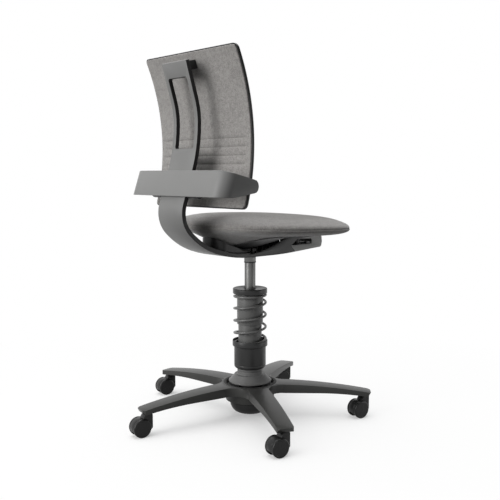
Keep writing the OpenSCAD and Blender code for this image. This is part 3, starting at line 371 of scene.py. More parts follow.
# ---- Column
# Steel foot and tubes, powder coated in a mid grey. The skirt is a moulded grey bell on the lower
# tube, and the spring stands in a black moulded cup and presses up on a black moulded cap.
TUBE_GREY = "#6f6f6e"
TUBE_DEEP = "#616160"
SKIRT_GREY = "#737372"
CUP_BLACK = "#303030"
TUBE_R = 33.5
SKIRT_R = 61.5
SKIRT_LOW = 99
SHOULDER_R = 45
SHOULDER = 119
NECK_R = 36.5
BORE_R = 33.8
CUP_LOW = 138
CUP_ROUND = 8
CUP_R = 45.5
CURVE_STEPS = 12
TUBE_OUTLINE = [(TUBE_R, 98), (TUBE_R, 312), (29, 312), (29, 98)]
CAP_OUTLINE = [(18.6, 364), (18.6, 367.5), (19.4, 368.4), (24, 368.4), (25, 368.8), (44, 368.2), (46.2, 369),
               (47.6, 368.6), (49, 367), (49, 355.4), (48.2, 353.8), (46.8, 353), (37.3, 353), (37.3, 364)]
SLEEVE_OUTLINE = [(37.2, 266), (37.2, 364), (34.95, 364), (34.95, 266)]

tube_coat = coated("grey_tube_enamel", TUBE_GREY, TUBE_DEEP, 0.38, 0.0011, bump=0.08)
skirt_coat = coated("grey_skirt_moulding", SKIRT_GREY, TUBE_DEEP, 0.42, 0.0012, bump=0.1)
cup_plastic = moulded("black_cup_moulding", CUP_BLACK, 0.36, 0.0009, 0.12)

fit(turned("column_tube", TUBE_OUTLINE, 0.8, tube_coat), "column", "grey_tube", "lower_tube")

bell = []
for i in range(CURVE_STEPS + 1):
    part = i / CURVE_STEPS
    bell.append((SKIRT_R - (SKIRT_R - SHOULDER_R) * part, SKIRT_LOW + 3 + (SHOULDER - SKIRT_LOW - 3) * part ** 1.25))
fillet = []
for i in range(CURVE_STEPS + 1):
    a = math.radians(90 * i / CURVE_STEPS)
    fillet.append((NECK_R + 3 - 3 * math.sin(a), SHOULDER + 4 - 3 * math.cos(a)))
bell_outline = ([(SKIRT_R, SKIRT_LOW)] + bell
                + [(SHOULDER_R - 0.6, SHOULDER + 0.8), (SHOULDER_R - 1.6, SHOULDER + 1)]
                + fillet + [(NECK_R, 129), (NECK_R - 0.5, 129.4), (NECK_R - 0.5, 130.4), (NECK_R, 130.8),
                            (NECK_R, CUP_LOW - 0.3), (BORE_R, CUP_LOW - 0.3), (BORE_R, SHOULDER - 6),
                            (45.5, SKIRT_LOW + 3), (SKIRT_R - 4, SKIRT_LOW)])
fit(turned("bell_skirt", bell_outline, 0.4, skirt_coat, 128), "column", "grey_skirt", "column_skirt")

cup_foot = []
for i in range(CURVE_STEPS + 1):
    a = math.radians(90 * i / CURVE_STEPS)
    cup_foot.append((CUP_R - CUP_ROUND + CUP_ROUND * math.sin(a), CUP_LOW + CUP_ROUND - CUP_ROUND * math.cos(a)))
cup_outline = [(BORE_R, CUP_LOW)] + cup_foot + [
    (CUP_R, 149), (CUP_R - 0.5, 149.4), (CUP_R - 0.5, 150.4), (CUP_R, 150.8), (CUP_R, 200.6), (46.2, 201.8),
    (49.4, 202.6), (50.2, 203.6), (50.2, 217.6), (49.5, 219), (48.8, 218.6), (48.8, 205), (43, 205),
    (43, CUP_LOW + CUP_ROUND), (BORE_R, CUP_LOW + 6)]
fit(turned("spring_cup_shell", cup_outline, 0.4, cup_plastic, 128), "column", "black_moulding", "spring_cup")
fit(turned("spring_cap_shell", CAP_OUTLINE, 0.5, cup_plastic, 128), "spring_head", "black_moulding", "spring_cap")
fit(turned("sleeve_tube", SLEEVE_OUTLINE, 0.6, tube_coat), "spring_head", "grey_tube", "upper_sleeve")

# ---- Coil spring
# Seven millimetre spring steel wire, wound right-handed round the sleeve, ends closed up, powder
# coated in grey. One tube follows the helix, so it is made by geometry nodes from its pitch.
WIRE_R = 0.0035
COIL_R = 0.04475
COIL_FOOT = 0.205
COIL_TOP = 0.353
COIL_AIR = 0.0003
COIL_PITCH = 0.0352
DEAD_TURNS = 0.5
DEAD_PITCH = 0.0078
COIL_MARK_Z = 0.310
COIL_MARK_ANGLE = 47.5
COIL_POINTS = 240
SPRING_GREY = "#6f6f6e"
SPRING_DEEP = "#646463"

rise = COIL_TOP - COIL_FOOT - 2 * WIRE_R - 2 * COIL_AIR
live_turns = (rise - 2 * DEAD_TURNS * DEAD_PITCH) / COIL_PITCH
all_turns = live_turns + 2 * DEAD_TURNS
first_z = COIL_FOOT + WIRE_R + COIL_AIR
# The helix is turned so that it passes the coil end that the photo shows.
start_angle = math.radians(COIL_MARK_ANGLE - 360 * (
    DEAD_TURNS + (COIL_MARK_Z - first_z - DEAD_TURNS * DEAD_PITCH) / COIL_PITCH))


def new_tree(name, **sizes):
    """An empty geometry tree whose inputs are the named sizes, with its input and output nodes."""
    tree = bpy.data.node_groups.new(name, "GeometryNodeTree")
    tree.interface.new_socket("Geometry", in_out="INPUT", socket_type="NodeSocketGeometry")
    for key, value in sizes.items():
        kind = "NodeSocketInt" if isinstance(value, int) else "NodeSocketFloat"
        tree.interface.new_socket(key, in_out="INPUT", socket_type=kind).default_value = value
    tree.interface.new_socket("Geometry", in_out="OUTPUT", socket_type="NodeSocketGeometry")
    return tree, add(tree, "NodeGroupInput"), add(tree, "NodeGroupOutput")


def grown(piece, tree, **values):
    """Runs a geometry tree on a piece with these input values and keeps the result as its plain mesh."""
    modifier = piece.modifiers.new("grow", "NODES")
    modifier.node_group = tree
    for item in tree.interface.items_tree:
        if item.in_out == "INPUT" and item.name in values:
            modifier[item.identifier] = values[item.name]
    return baked(piece)


def close_tree(tree, output, geometry, material):
    """Ends a geometry tree: everything real, with its material."""
    real = add(tree, "GeometryNodeRealizeInstances", {"Geometry": geometry})
    dressed = add(tree, "GeometryNodeSetMaterial", {"Geometry": real.outputs[0], "Material": material})
    tree.links.new(dressed.outputs[0], output.inputs[0])


spring_enamel = coated("grey_spring_enamel", SPRING_GREY, SPRING_DEEP, 0.3, 0.0012, gloss=0.5, bump=0.06)
tree, given, output = new_tree("helix_spring", Radius=COIL_R, Wire=WIRE_R, Turns=all_turns, Dead=DEAD_TURNS,
                               Live=live_turns, Pitch=COIL_PITCH, Closed=DEAD_PITCH, Foot=first_z, Start=start_angle,
                               Points=COIL_POINTS)
line = add(tree, "GeometryNodeCurvePrimitiveLine", {"End": (0, 0, 1)})
dense = add(tree, "GeometryNodeResampleCurve", {"Curve": line.outputs[0], "Count": given.outputs["Points"]})
along = add(tree, "GeometryNodeSplineParameter")
turn = calc(tree, "MULTIPLY", along.outputs["Factor"], given.outputs["Turns"])
angle = calc(tree, "MULTIPLY_ADD", turn, 2 * math.pi, given.outputs["Start"])
across = calc(tree, "MULTIPLY", calc(tree, "COSINE", angle), given.outputs["Radius"])
deep = calc(tree, "MULTIPLY", calc(tree, "SINE", angle), given.outputs["Radius"])
# The closed end turns rise at their own pitch, the working turns between them at the full one.
past = calc(tree, "SUBTRACT", turn, given.outputs["Dead"])
working = calc(tree, "MINIMUM", calc(tree, "MAXIMUM", past, 0.0), given.outputs["Live"])
resting = calc(tree, "SUBTRACT", turn, working)
low = calc(tree, "MULTIPLY_ADD", resting, given.outputs["Closed"], given.outputs["Foot"])
high = calc(tree, "MULTIPLY_ADD", working, given.outputs["Pitch"], low)
spot = add(tree, "ShaderNodeCombineXYZ", {"X": across, "Y": deep, "Z": high})
wound = add(tree, "GeometryNodeSetPosition", {"Geometry": dense.outputs[0], "Position": spot.outputs[0]})
section = add(tree, "GeometryNodeCurvePrimitiveCircle", {"Resolution": 16, "Radius": given.outputs["Wire"]})
tube = add(tree, "GeometryNodeCurveToMesh", {"Curve": wound.outputs[0], "Profile Curve": section.outputs[0],
                                             "Fill Caps": True})
close_tree(tree, output, tube.outputs[0], spring_enamel)
spring = placed("coil_spring_wire", bpy.data.meshes.new("coil_spring_wire"))
grown(spring, tree, Radius=COIL_R)
spring.data.shade_smooth()
spring.data.set_sharp_from_angle(angle=math.radians(50))
fit(spring, "column", "spring_wire", "coil_spring")
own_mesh(spring)

# ---- Lift and inner steel
# The bright lift tube slides in the gas cylinder and carries the seat's boss. It is ground steel, and
# the boss and ring are turned. The hidden steel pieces keep their CAD shape and get a steel finish.
STEEL = "#6a6a69"
STEEL_DARK = "#4a4a4a"
STEEL_DEEP = "#3d3d3d"
BUSH_PALE = "#c9c6bd"
MARK_STRETCH = (1, 1, 60)
ROD_OUTLINE = [(15.5, 232), (15.5, 478), (4.05, 478), (4.05, 428), (0, 428), (0, 232)]
BOSS_OUTLINE = [(15.55, 445), (16.6, 445), (16.6, 455), (17.2, 457.5), (18.4, 460), (20, 463.5), (15.55, 463.5)]
SWIVEL_OUTLINE = [(15.5, 441.7), (17, 441.7), (17, 444.7), (15.5, 444.7)]


def steel(name, colour, roughness):
    """Ground or turned steel: fine marks that run round the piece, so the noise is stretched."""
    material, tree, out = new_material(name)
    place = add(tree, "ShaderNodeTexCoord")
    pulled = add(tree, "ShaderNodeMapping", {"Vector": place.outputs["Object"], "Scale": MARK_STRETCH})
    marks = noise(tree, pulled.outputs[0], 12.0, 2.0)
    rough = spread(tree, marks, (roughness - 0.06, roughness + 0.1))
    normal = relief(tree, marks, 0.05, 0.0001)
    skin = add(tree, "ShaderNodeBsdfPrincipled", {"Base Color": linear(colour), "Roughness": rough,
                                                  "Normal": normal, "Metallic": 1.0})
    tree.links.new(skin.outputs[0], out.inputs["Surface"])
    return material


ground_steel = steel("ground_lift_steel", STEEL, 0.42)
black_steel = coated("blackened_steel", STEEL_DARK, STEEL_DEEP, 0.5, 0.0015)
bearing_plastic = moulded("pale_bearing_plastic", BUSH_PALE, 0.4)

fit(turned("lift_rod", ROD_OUTLINE, 0.6, ground_steel, 64), "lift", "bright_steel", "lift_tube")
fit(turned("seat_boss_cone", BOSS_OUTLINE, 0.4, ground_steel, 64), "seat", "dark_steel", "seat_boss")
fit(turned("swivel_ring", SWIVEL_OUTLINE, 0.3, black_steel, 64), "lift", "pale_bush", "thrust_washer")

kept_nodes = {
    ground_steel: ["castor_stems", "gimbal_ring", "column_foot", "release_pin", "pivot_shaft", "block_screws"]
    + [f"castor_axle_{n}" for n in range(1, 6)],
    black_steel: ["gas_cylinder", "lever_bracket"],
    bearing_plastic: ["guide_bush"],
    rubber: ["torsion_sleeves"],
    nylon: ["wing_pins"],
}
for material, names in kept_nodes.items():
    for name in names:
        finish_mesh(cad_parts[name], material)

# ---- Frame strip
# One flat bar runs from under the seat's front, back and up behind it, to the pivot in the bar.
# Aluminium with a satin grey coat, its side edges black, and two welded cheeks under the seat.
STRIP_GREY = "#787877"
STRIP_DEEP = "#6e6e6d"
EDGE_BLACK = "#232323"
STRIP_EDGE = 1.0
CHEEK_END = 0.055
# The cheeks' side faces take a lighter copy of the strip's grey: painted light on sides that the lamps leave in
# shade.
CHEEK_PAINTED_LIGHT_GREY = "#b0b0ae"
CHEEK_PAINTED_LIGHT_DEEP = "#a4a4a2"
# A face is a bar's side where its normal's x is past this, and its flat where its y is.
SIDE_FACING = 0.6
# The spine's open window, whose walls are black too, in metres
WINDOW_HALF_W = 0.045
WINDOW_LOW = 0.74
WINDOW_HIGH = 0.945

strip_coat = coated("satin_grey_strip_coat", STRIP_GREY, STRIP_DEEP, 0.42, 0.0011, bump=0.08)
edge_coat = moulded("black_edge_finish", EDGE_BLACK, 0.4)

seat_strip = solid_copy("seat_strip", "seat_frame", STRIP_EDGE, strip_coat)
seat_strip.data.materials.append(edge_coat)
cheek_painted_light_coat = coated("cheek_side_painted_light_coat", CHEEK_PAINTED_LIGHT_GREY, CHEEK_PAINTED_LIGHT_DEEP, 0.42, 0.0011, bump=0.08)
seat_strip.data.materials.append(cheek_painted_light_coat)
# Side faces behind the cheeks get the black edge, and the cheeks' side faces get the lighter grey, a painted light.
for face in seat_strip.data.polygons:
    if abs(face.normal.x) > SIDE_FACING:
        face.material_index = 1 if face.center.y > CHEEK_END else 2
fit(seat_strip, "seat", "silver_strip", "seat_frame")

spine_strip = solid_copy("spine_strip", "spine", STRIP_EDGE, strip_coat)
spine_strip.data.materials.append(edge_coat)
for face in spine_strip.data.polygons:
    inside = abs(face.center.x) < WINDOW_HALF_W and WINDOW_LOW < face.center.z < WINDOW_HIGH
    if abs(face.normal.x) > SIDE_FACING or (inside and abs(face.normal.y) < SIDE_FACING):
        face.material_index = 1
fit(spine_strip, "backrest", "silver_strip", "spine")

fit(solid_copy("spine_block", "top_block", 1.6, nylon), "backrest", "black_nylon", "top_block")

# ---- Rear bar
# A moulded shell across the back, painted in the strip's grey, open below and to the front. Its two
# wings run forward to the panel's sides. Inside it a nylon block turns on the back pivot's shaft.
BAR_GREY = "#7e7e7d"
BAR_DEEP = "#757574"

bar_coat = coated("satin_grey_bar_coat", BAR_GREY, BAR_DEEP, 0.44, 0.0011, bump=0.08)
fit(solid_copy("bar_shell", "rear_bar", 1.4, bar_coat, segments=3), "backrest", "silver_bar", "rear_bar")
fit(solid_copy("clamp_block", "pivot_block", 0.8, nylon), "backrest", "black_nylon", "pivot_block")

# ---- Back panel
# A curved board with a crowned foam pad in front and fabric drawn over both sides. Four channels are
# sewn right across, and a thin black edging closes the rim. Its sizes are in millimetres.
BACK_W = 376
BACK_LOW = 604
BACK_HIGH = 1004
BACK_R = 550
BACK_NEAR_Y = 167
BACK_NEAR_Z = 765
PAD_T = 5
BOARD_T = 4
EDGE_T = 15
BACK_CROWN = 26
PAD_MARGIN = 3.3
PAD_CORNER = 9.7
CHANNEL_ZS = (717, 739, 761, 783)
CHANNEL_HALF_W = 165
CHANNEL_DEPTH = 2.2
# Rows beside a channel's line, close enough to draw its groove, and the room that they take
CHANNEL_STEPS = (0.4, 1.2, 2.4, 3.8, 5.5, 7.5, 10)
CHANNEL_ROOM = 10.5
# Half a groove's width on the front pad, behind on the cloth, and where the swollen pad is drawn in
FRONT_GROOVE = 9
REAR_GROOVE = 11
DRAWN_GROOVE = 7
# Places of the close rows at a pad's rim, from its edge inward
RIM_STEPS = (0, 0.4, 1, 2, 3.4, 5, 7, 10)
ROLL = 2.2
EDGING_FROM = 2.5
EDGING_TO = 9.4
EDGING_SHOWS = 2.8
FABRIC_LIGHT = "#a19e9b"
FABRIC_MID = "#918e8b"
FABRIC_DARK = "#7d7a78"
THREAD_SPACING = 0.0016
CLOTH_SMOOTH = 60
# A band of the wave texture repeats at this over its scale, in metres.
WAVE_UNIT = 0.314
# Where the cloth's three shades lie on the mixed noise
FABRIC_STOPS = (0.56, 0.73, 0.92)


def woven(name, light, mid, dark):
    """Melange wool cloth: yarns of mixed shades, a plain weave, and a soft pile that catches light."""
    material, tree, out = new_material(name)
    place = add(tree, "ShaderNodeTexCoord").outputs["Object"]
    apart = add(tree, "ShaderNodeSeparateXYZ", {0: place})
    # Yarns run across, and up the back and along the seat. Their real spacing of about 0.8 mm is
    # drawn twice as coarse to show.
    up = calc(tree, "ADD", apart.outputs["Y"], apart.outputs["Z"])
    lie = add(tree, "ShaderNodeCombineXYZ", {"X": apart.outputs["X"], "Y": up})
    warp, weft = (add(tree, "ShaderNodeTexWave", {
        "Vector": lie.outputs[0], "Scale": WAVE_UNIT / THREAD_SPACING, "Distortion": 1.2, "Detail": 1.0},
        bands_direction=direction) for direction in "XY")
    weave = calc(tree, "MULTIPLY", warp.outputs["Fac"], weft.outputs["Fac"])
    fleck = noise(tree, place, 330.0, 3.0, Roughness=0.65)
    cloud = noise(tree, place, 95.0, 3.0)
    blend = calc(tree, "MULTIPLY_ADD", cloud, 0.45, fleck)
    shade = add(tree, "ShaderNodeValToRGB", {0: blend})
    ramp = shade.color_ramp
    ramp.elements[0].position, ramp.elements[0].color = FABRIC_STOPS[0], linear(dark)
    ramp.elements[1].position, ramp.elements[1].color = FABRIC_STOPS[2], linear(light)
    ramp.elements.new(FABRIC_STOPS[1]).color = linear(mid)
    fuzz = calc(tree, "MULTIPLY_ADD", weave, 0.6, fleck)
    normal = relief(tree, fuzz, 0.5, 0.0006)
    skin = add(tree, "ShaderNodeBsdfPrincipled", {
        "Base Color": shade.outputs[0], "Roughness": 0.92, "Normal": normal, "Sheen Weight": 0.6,
        "Sheen Roughness": 0.5, "Specular IOR Level": 0.25})
    tree.links.new(skin.outputs[0], out.inputs["Surface"])
    return material


fabric = woven("melange_wool_cloth", FABRIC_LIGHT, FABRIC_MID, FABRIC_DARK)
pad_low, pad_high = BACK_LOW + PAD_MARGIN, BACK_HIGH - PAD_MARGIN
pad_mid, pad_half_h = (pad_low + pad_high) / 2, (pad_high - pad_low) / 2
pad_half_w = BACK_W / 2 - PAD_MARGIN


def on_back(x, z, depth):
    """A place on the curved panel, at a depth in front of its rear face, in metres."""
    y = BACK_NEAR_Y + BACK_R - math.sqrt((BACK_R + depth) ** 2 - (z - BACK_NEAR_Z) ** 2)
    return x / 1000, y / 1000, z / 1000


def depth_at(y, z):
    """The depth of a place in front of the panel's rear face, in millimetres."""
    return math.hypot(BACK_NEAR_Y + BACK_R - y, z - BACK_NEAR_Z) - BACK_R


def narrow(z, over):
    """How far out a corner of the panel still reaches at a height, from 0 to its radius."""
    radius = PAD_CORNER + over
    e = max(radius - min(z - pad_low, pad_high - z) - over, 0)
    return math.sqrt(max(radius ** 2 - e * e, 0))


def groove(x, z, reach):
    """Depth of the sewn channels at a place, from 0 to 1, fading out at their ends."""
    near = max(0, min(1, (CHANNEL_HALF_W + 4 - abs(x)) / 6))
    return near * max(max(0, 1 - abs(z - c) / reach) ** 2.6 for c in CHANNEL_ZS)


def dome(u, w):
    """How full a pad is at a place, from 1 over most of it to 0 at its rim."""
    return math.sqrt(max(1 - abs(u) ** 6, 0)) * math.sqrt(max(1 - abs(w) ** 6, 0))


def span(low, high, step):
    """Places from low to high, set closer at both ends."""
    inner = high - low - 2 * RIM_STEPS[-1]
    count = max(2, round(inner / step))
    middle = [low + RIM_STEPS[-1] + inner * i / count for i in range(1, count)]
    return [low + e for e in RIM_STEPS] + middle + [high - e for e in RIM_STEPS[::-1]]


def pillow(name, depth, edge, crown, step, half_w, roll=0.0):
    """A closed pad on the panel: flat at the given depth and swelling to the front or the rear.

    A roll turns its rim forward round the panel's edge, by that radius.
    """
    side = 1 if edge > 0 else -1
    over = half_w - pad_half_w
    bottom, top = pad_low - over, pad_high + over
    xs, zs = span(-half_w, half_w, step), span(bottom, top, step * 0.45)
    zs = [z for z in zs if min(abs(z - c) for c in CHANNEL_ZS) > CHANNEL_ROOM]
    zs = sorted(zs + [c + sign * d for c in CHANNEL_ZS for sign in (-1, 1) for d in CHANNEL_STEPS])
    work = bmesh.new()
    layers = [[], []]
    for z in zs:
        rows = [[], []]
        for x in xs:
            u, w = x / half_w, (z - pad_mid) / (pad_half_h + over)
            rise = side * 0.6 + edge * dome(u, w) + crown * (1 - u * u) * (1 - w * w)
            rise -= side * CHANNEL_DEPTH * groove(x, z, FRONT_GROOVE) * dome(u, w)
            rim = min(half_w - abs(x), z - bottom, top - z)
            if roll:
                rise = (-PAD_T + 0.3 - 2 * (1 - u * u) * (1 - w * w)
                        + CHANNEL_DEPTH * groove(x, z, REAR_GROOVE))
                rise += roll - math.sqrt(max(roll ** 2 - max(roll - rim, 0) ** 2, 0))
            wide = (half_w - PAD_CORNER - over + narrow(z, over)) / half_w
            flat = depth if not roll else max(depth, depth + rise + 0.9)
            rows[0].append(work.verts.new(on_back(x * wide, z, flat)))
            rows[1].append(work.verts.new(on_back(x * wide, z, depth + rise)))
        layers[0].append(rows[0])
        layers[1].append(rows[1])
    flat, puffed = layers
    for i in range(len(zs) - 1):
        for j in range(len(xs) - 1):
            work.faces.new((flat[i][j], flat[i][j + 1], flat[i + 1][j + 1], flat[i + 1][j]))
            work.faces.new((puffed[i][j], puffed[i + 1][j], puffed[i + 1][j + 1], puffed[i][j + 1]))
        for j in (0, len(xs) - 1):
            work.faces.new((flat[i][j], flat[i + 1][j], puffed[i + 1][j], puffed[i][j]))
    for i in (0, len(zs) - 1):
        for j in range(len(xs) - 1):
            work.faces.new((flat[i][j], flat[i][j + 1], puffed[i][j + 1], puffed[i][j]))
    bmesh.ops.recalc_face_normals(work, faces=work.faces)
    return new_piece(name, work)


fit(solid_copy("panel_board", "back_board", 0.4, nylon), "backrest", "black_nylon", "back_board")
panel_edging = solid_copy("panel_edging", "edge_trim", 0, edge_coat)
for vertex in panel_edging.data.vertices:
    x, y, z = (c * 1000 for c in vertex.co)
    vertex.co = on_back(x, z, EDGING_TO if depth_at(y, z) > EDGE_T / 2 else EDGING_FROM)
finish_mesh(eased(panel_edging, 0.6), edge_coat)
fit(panel_edging, "backrest", "black_edging", "edge_trim")

rear_fabric = finish_mesh(pillow("panel_rear_fabric", PAD_T - 0.3, -(PAD_T - 1), -2, 6,
                                 BACK_W / 2 - EDGING_SHOWS, ROLL), fabric, CLOTH_SMOOTH)
fit(rear_fabric, "backrest", "melange_fabric", "rear_pad")

# ---- Front cushion of the back
# Foam under the same cloth. A stuffed case is swollen as cloth under pressure, from a slightly smaller
# form, and the pad's clean mesh takes its shape, with the channels drawn in where they are sewn.
SWELL_FRAMES = 20
VOXEL = 0.005
PRESSURE = 4.0
PAD_SWELL = 0.006
PAD_BLEND = 24


def swollen(piece, cap):
    """Remeshes a closed form and swells it as cloth under pressure, no point moving past the cap."""
    remesh = piece.modifiers.new("even", "REMESH")
    remesh.mode = "VOXEL"
    remesh.voxel_size = VOXEL
    baked(piece)
    start = [v.co.copy() for v in piece.data.vertices]
    cloth = piece.modifiers.new("swell", "CLOTH")
    cloth.settings.quality = 4
    cloth.settings.use_pressure = True
    cloth.settings.uniform_pressure_force = PRESSURE
    cloth.settings.effector_weights.gravity = 0
    cloth.collision_settings.use_collision = False
    for step in range(1, SWELL_FRAMES + 1):
        scene.frame_set(step)
    puffed = piece.evaluated_get(bpy.context.evaluated_depsgraph_get())
    ends = [v.co.copy() for v in puffed.data.vertices]
    piece.modifiers.clear()
    for vertex, old, new in zip(piece.data.vertices, start, ends):
        move = new - old
        vertex.co = old + move * min(1, cap / max(move.length, 1e-9))
    scene.frame_set(1)
    return piece


def subdivided(piece):
    """Subdivides a piece's mesh once."""
    smooth = piece.modifiers.new("smooth", "SUBSURF")
    smooth.levels = smooth.render_levels = 1
    return baked(piece)


def surface(piece):
    """A piece's surface, to cast rays at. The piece itself goes."""
    tree = BVHTree.FromPolygons([v.co for v in piece.data.vertices],
                                [tuple(p.vertices) for p in piece.data.polygons])
    bpy.data.objects.remove(piece)
    return tree


def ease(t):
    """From 0 to 1 with a soft start and end."""
    t = min(max(t, 0), 1)
    return t * t * (3 - 2 * t)


pad_floor = PAD_T + BOARD_T + 0.6
pad_edge = EDGE_T - PAD_T - BOARD_T - 1
front_pad = pillow("panel_front_pad", pad_floor, pad_edge, BACK_CROWN, 8, pad_half_w)
pad_case = pillow("pad_case", pad_floor, pad_edge - 1, BACK_CROWN - 4, 8, pad_half_w)
case = surface(swollen(pad_case, PAD_SWELL))
for vertex in front_pad.data.vertices:
    x, y, z = (c * 1000 for c in vertex.co)
    depth = depth_at(y, z)
    inner = min(pad_half_w - abs(x), z - pad_low, pad_high - z)
    start, end = Vector(on_back(x, z, 80)), Vector(on_back(x, z, 0))
    spot = case.ray_cast(start, end - start)[0]
    if spot and depth > pad_floor + 0.3:
        full = depth_at(spot.y * 1000, spot.z * 1000)
        draw = CHANNEL_DEPTH * groove(x, z, DRAWN_GROOVE)
        vertex.co = on_back(x, z, depth + (full - draw - depth) * ease(inner / PAD_BLEND))
subdivided(front_pad)
finish_mesh(front_pad, fabric, CLOTH_SMOOTH)
fit(front_pad, "backrest", "melange_fabric", "back_cushion")

# ---- Seat
# A shaped foam seat over a plywood shell, covered in the same cloth: a crowned top and a bowl-shaped
# underside that meet in a corded seam all round. A dark moulded pan joins it to the frame.
SEAT_W = 470
SEAT_DEPTH = 450
SEAT_Y = -44
SEAT_SQUARE = 2.7
SEAM_Z = 542
SEAT_TILT = 8
SEAT_CROWN = 38
SEAT_LIP = 20
SEAT_BOWL = 38
BOWL_Y = 40
BOWL_RX = 142
BOWL_RY = 172
SEAT_AROUND = 128
CORD_R = 0.0019
SEAM_DRAW = 0.986
RIB_X = 30
RIB_T = 5
RIB_FROM_Y = -146
RIB_TO_Y = -104
RIB_LOW = (477.3, 474.6)
RIB_TOP = 514.5
SWELL = 5
# The top swells from this share of the plan inward, and the seam is drawn in outside the other.
SWELL_FROM_F = 0.985
SEAM_FROM_F = 0.9
SEAM_REACH = 2.4
SPACER_BLACK = "#3a3a3a"


def seat_spot(f, a, less=0):
    """Plan of the seat: a squarish oval, f from its middle to its rim."""
    def bend(c):
        return math.copysign(abs(c) ** (2 / SEAT_SQUARE), c)
    return ((SEAT_W / 2 - less) * f * bend(math.cos(a)),
            SEAT_Y + (SEAT_DEPTH / 2 - less) * f * bend(math.sin(a)))


def seat_f(x, y):
    """The share f of a place on the plan."""
    across, along = abs(2 * x / SEAT_W), abs(2 * (y - SEAT_Y) / SEAT_DEPTH)
    return (across ** SEAT_SQUARE + along ** SEAT_SQUARE) ** (1 / SEAT_SQUARE)


def seam_z(y):
    """Height of the seam, which rises to the rear."""
    return SEAM_Z + SEAT_TILT * (y - SEAT_Y) / (SEAT_DEPTH / 2)


def seat_top(f, y, less):
    """Height of the seat's crowned top."""
    return seam_z(y) + (SEAT_CROWN - less) * max(1 - f ** 2.7, 0) ** 0.4


def seat_low(f, x, y, less):
    """Height of the seat's underside, a lip with a bowl below it."""
    bowl = SEAT_BOWL * max(1 - (x / BOWL_RX) ** 2 - ((y - BOWL_Y) / BOWL_RY) ** 2, 0) ** 1.9
    return seam_z(y) - (SEAT_LIP - less) * max(1 - f ** 5, 0) ** 0.5 - bowl


def ring_solid(name, rings, top, low):
    """A closed form from rings of points, the first on top, in millimetres."""
    work = bmesh.new()
    loops = [[work.verts.new((x / 1000, y / 1000, z / 1000)) for x, y, z in ring] for ring in rings]
    crown = work.verts.new(tuple(c / 1000 for c in top))
    foot = work.verts.new(tuple(c / 1000 for c in low))
    count = len(loops[0])
    for j in range(count):
        k = (j + 1) % count
        for upper, lower in zip(loops, loops[1:]):
            work.faces.new((upper[j], lower[j], lower[k], upper[k]))
        work.faces.new((crown, loops[0][j], loops[0][k]))
        work.faces.new((foot, loops[-1][k], loops[-1][j]))
    bmesh.ops.recalc_face_normals(work, faces=work.faces)
    return new_piece(name, work)


def seat_ring(f, high, lift, less):
    """One ring of the seat's top or underside, at a share f of its plan."""
    ring = []
    for j in range(SEAT_AROUND):
        x, y = seat_spot(f, 2 * math.pi * j / SEAT_AROUND, less)
        ring.append((x, y, (seat_top(f, y, less) if high else seat_low(f, x, y, less)) + lift))
    return ring


top_steps = [0.08, 0.2, 0.32, 0.44, 0.55, 0.65, 0.74, 0.82, 0.88, 0.925, 0.955, 0.975, 0.99]
low_steps = [0.99, 0.97, 0.94, 0.9, 0.84, 0.76, 0.66, 0.54, 0.4, 0.25, 0.1]
seam = []
for j in range(SEAT_AROUND):
    x, y = seat_spot(SEAM_DRAW, 2 * math.pi * j / SEAT_AROUND)
    seam.append((x, y, seam_z(y)))


def seat_form(name, less):
    """The seat's closed form, its rim drawn with a few close rings at the seam."""
    rim = [seat_ring(0.9987, True, 0, less), seat_ring(1, True, 1.8, less), seat_ring(1, True, 0, less),
           seat_ring(1, False, -1.8, less), seat_ring(0.996, False, 0, less)]
    return ring_solid(name, [seat_ring(f, True, 0, less) for f in top_steps] + rim
                      + [seat_ring(f, False, 0, less) for f in low_steps],
                      (0, SEAT_Y, seat_top(0, SEAT_Y, less)), (0, SEAT_Y, seat_low(0, 0, SEAT_Y, less)))


seat_pad = seat_form("seat_pad", 0)
case = surface(swollen(seat_form("seat_case", SWELL - 1), SWELL / 1000))
for vertex in seat_pad.data.vertices:
    x, y, z = (c * 1000 for c in vertex.co)
    f = seat_f(x, y)
    spot = case.ray_cast(Vector((x / 1000, y / 1000, 0.8)), Vector((0, 0, -1)))[0] if case else None
    if spot and z > seam_z(y) + 3:
        z += (spot.z * 1000 - z) * ease((SWELL_FROM_F - f) / 0.25)
    # The seam is drawn in all round.
    fall = math.exp(-((z - seam_z(y)) / SEAM_REACH) ** 2)
    draw = 1 - (1 - SEAM_DRAW) * fall * ease((f - SEAM_FROM_F) / 0.08)
    vertex.co = (x * draw / 1000, (SEAT_Y + (y - SEAT_Y) * draw) / 1000, z / 1000)
finish_mesh(subdivided(seat_pad), fabric, CLOTH_SMOOTH)
fit(seat_pad, "seat", "melange_fabric", "seat_cushion")

# The seam's cord, one tube along the rim.
tree, given, output = new_tree("sewn_cord", Radius=CORD_R)
path = add(tree, "GeometryNodeMeshToCurve", {"Mesh": given.outputs[0]})
section = add(tree, "GeometryNodeCurvePrimitiveCircle", {"Resolution": 10, "Radius": given.outputs["Radius"]})
tube = add(tree, "GeometryNodeCurveToMesh", {"Curve": path.outputs[0], "Profile Curve": section.outputs[0]})
close_tree(tree, output, tube.outputs[0], fabric)
loop = bpy.data.meshes.new("seat_seam_cord")
loop.from_pydata([(x * 1.006 / 1000, (SEAT_Y + (y - SEAT_Y) * 1.006) / 1000, z / 1000) for x, y, z in seam],
                 [(j, (j + 1) % SEAT_AROUND) for j in range(SEAT_AROUND)], [])
seam_cord = placed("seat_seam_cord", loop)
grown(seam_cord, tree, Radius=CORD_R)
seam_cord.data.shade_smooth()
fit(seam_cord, "seat", "melange_fabric")

fit(solid_copy("under_pan", "seat_pan", 0, nylon), "seat", "black_nylon", "seat_pan")
spacer_alloy = steel("black_anodised_alloy", SPACER_BLACK, 0.45)
fit(solid_copy("pan_spacers", "seat_spacers", 0.4, spacer_alloy), "seat", "bright_alloy", "seat_spacers")
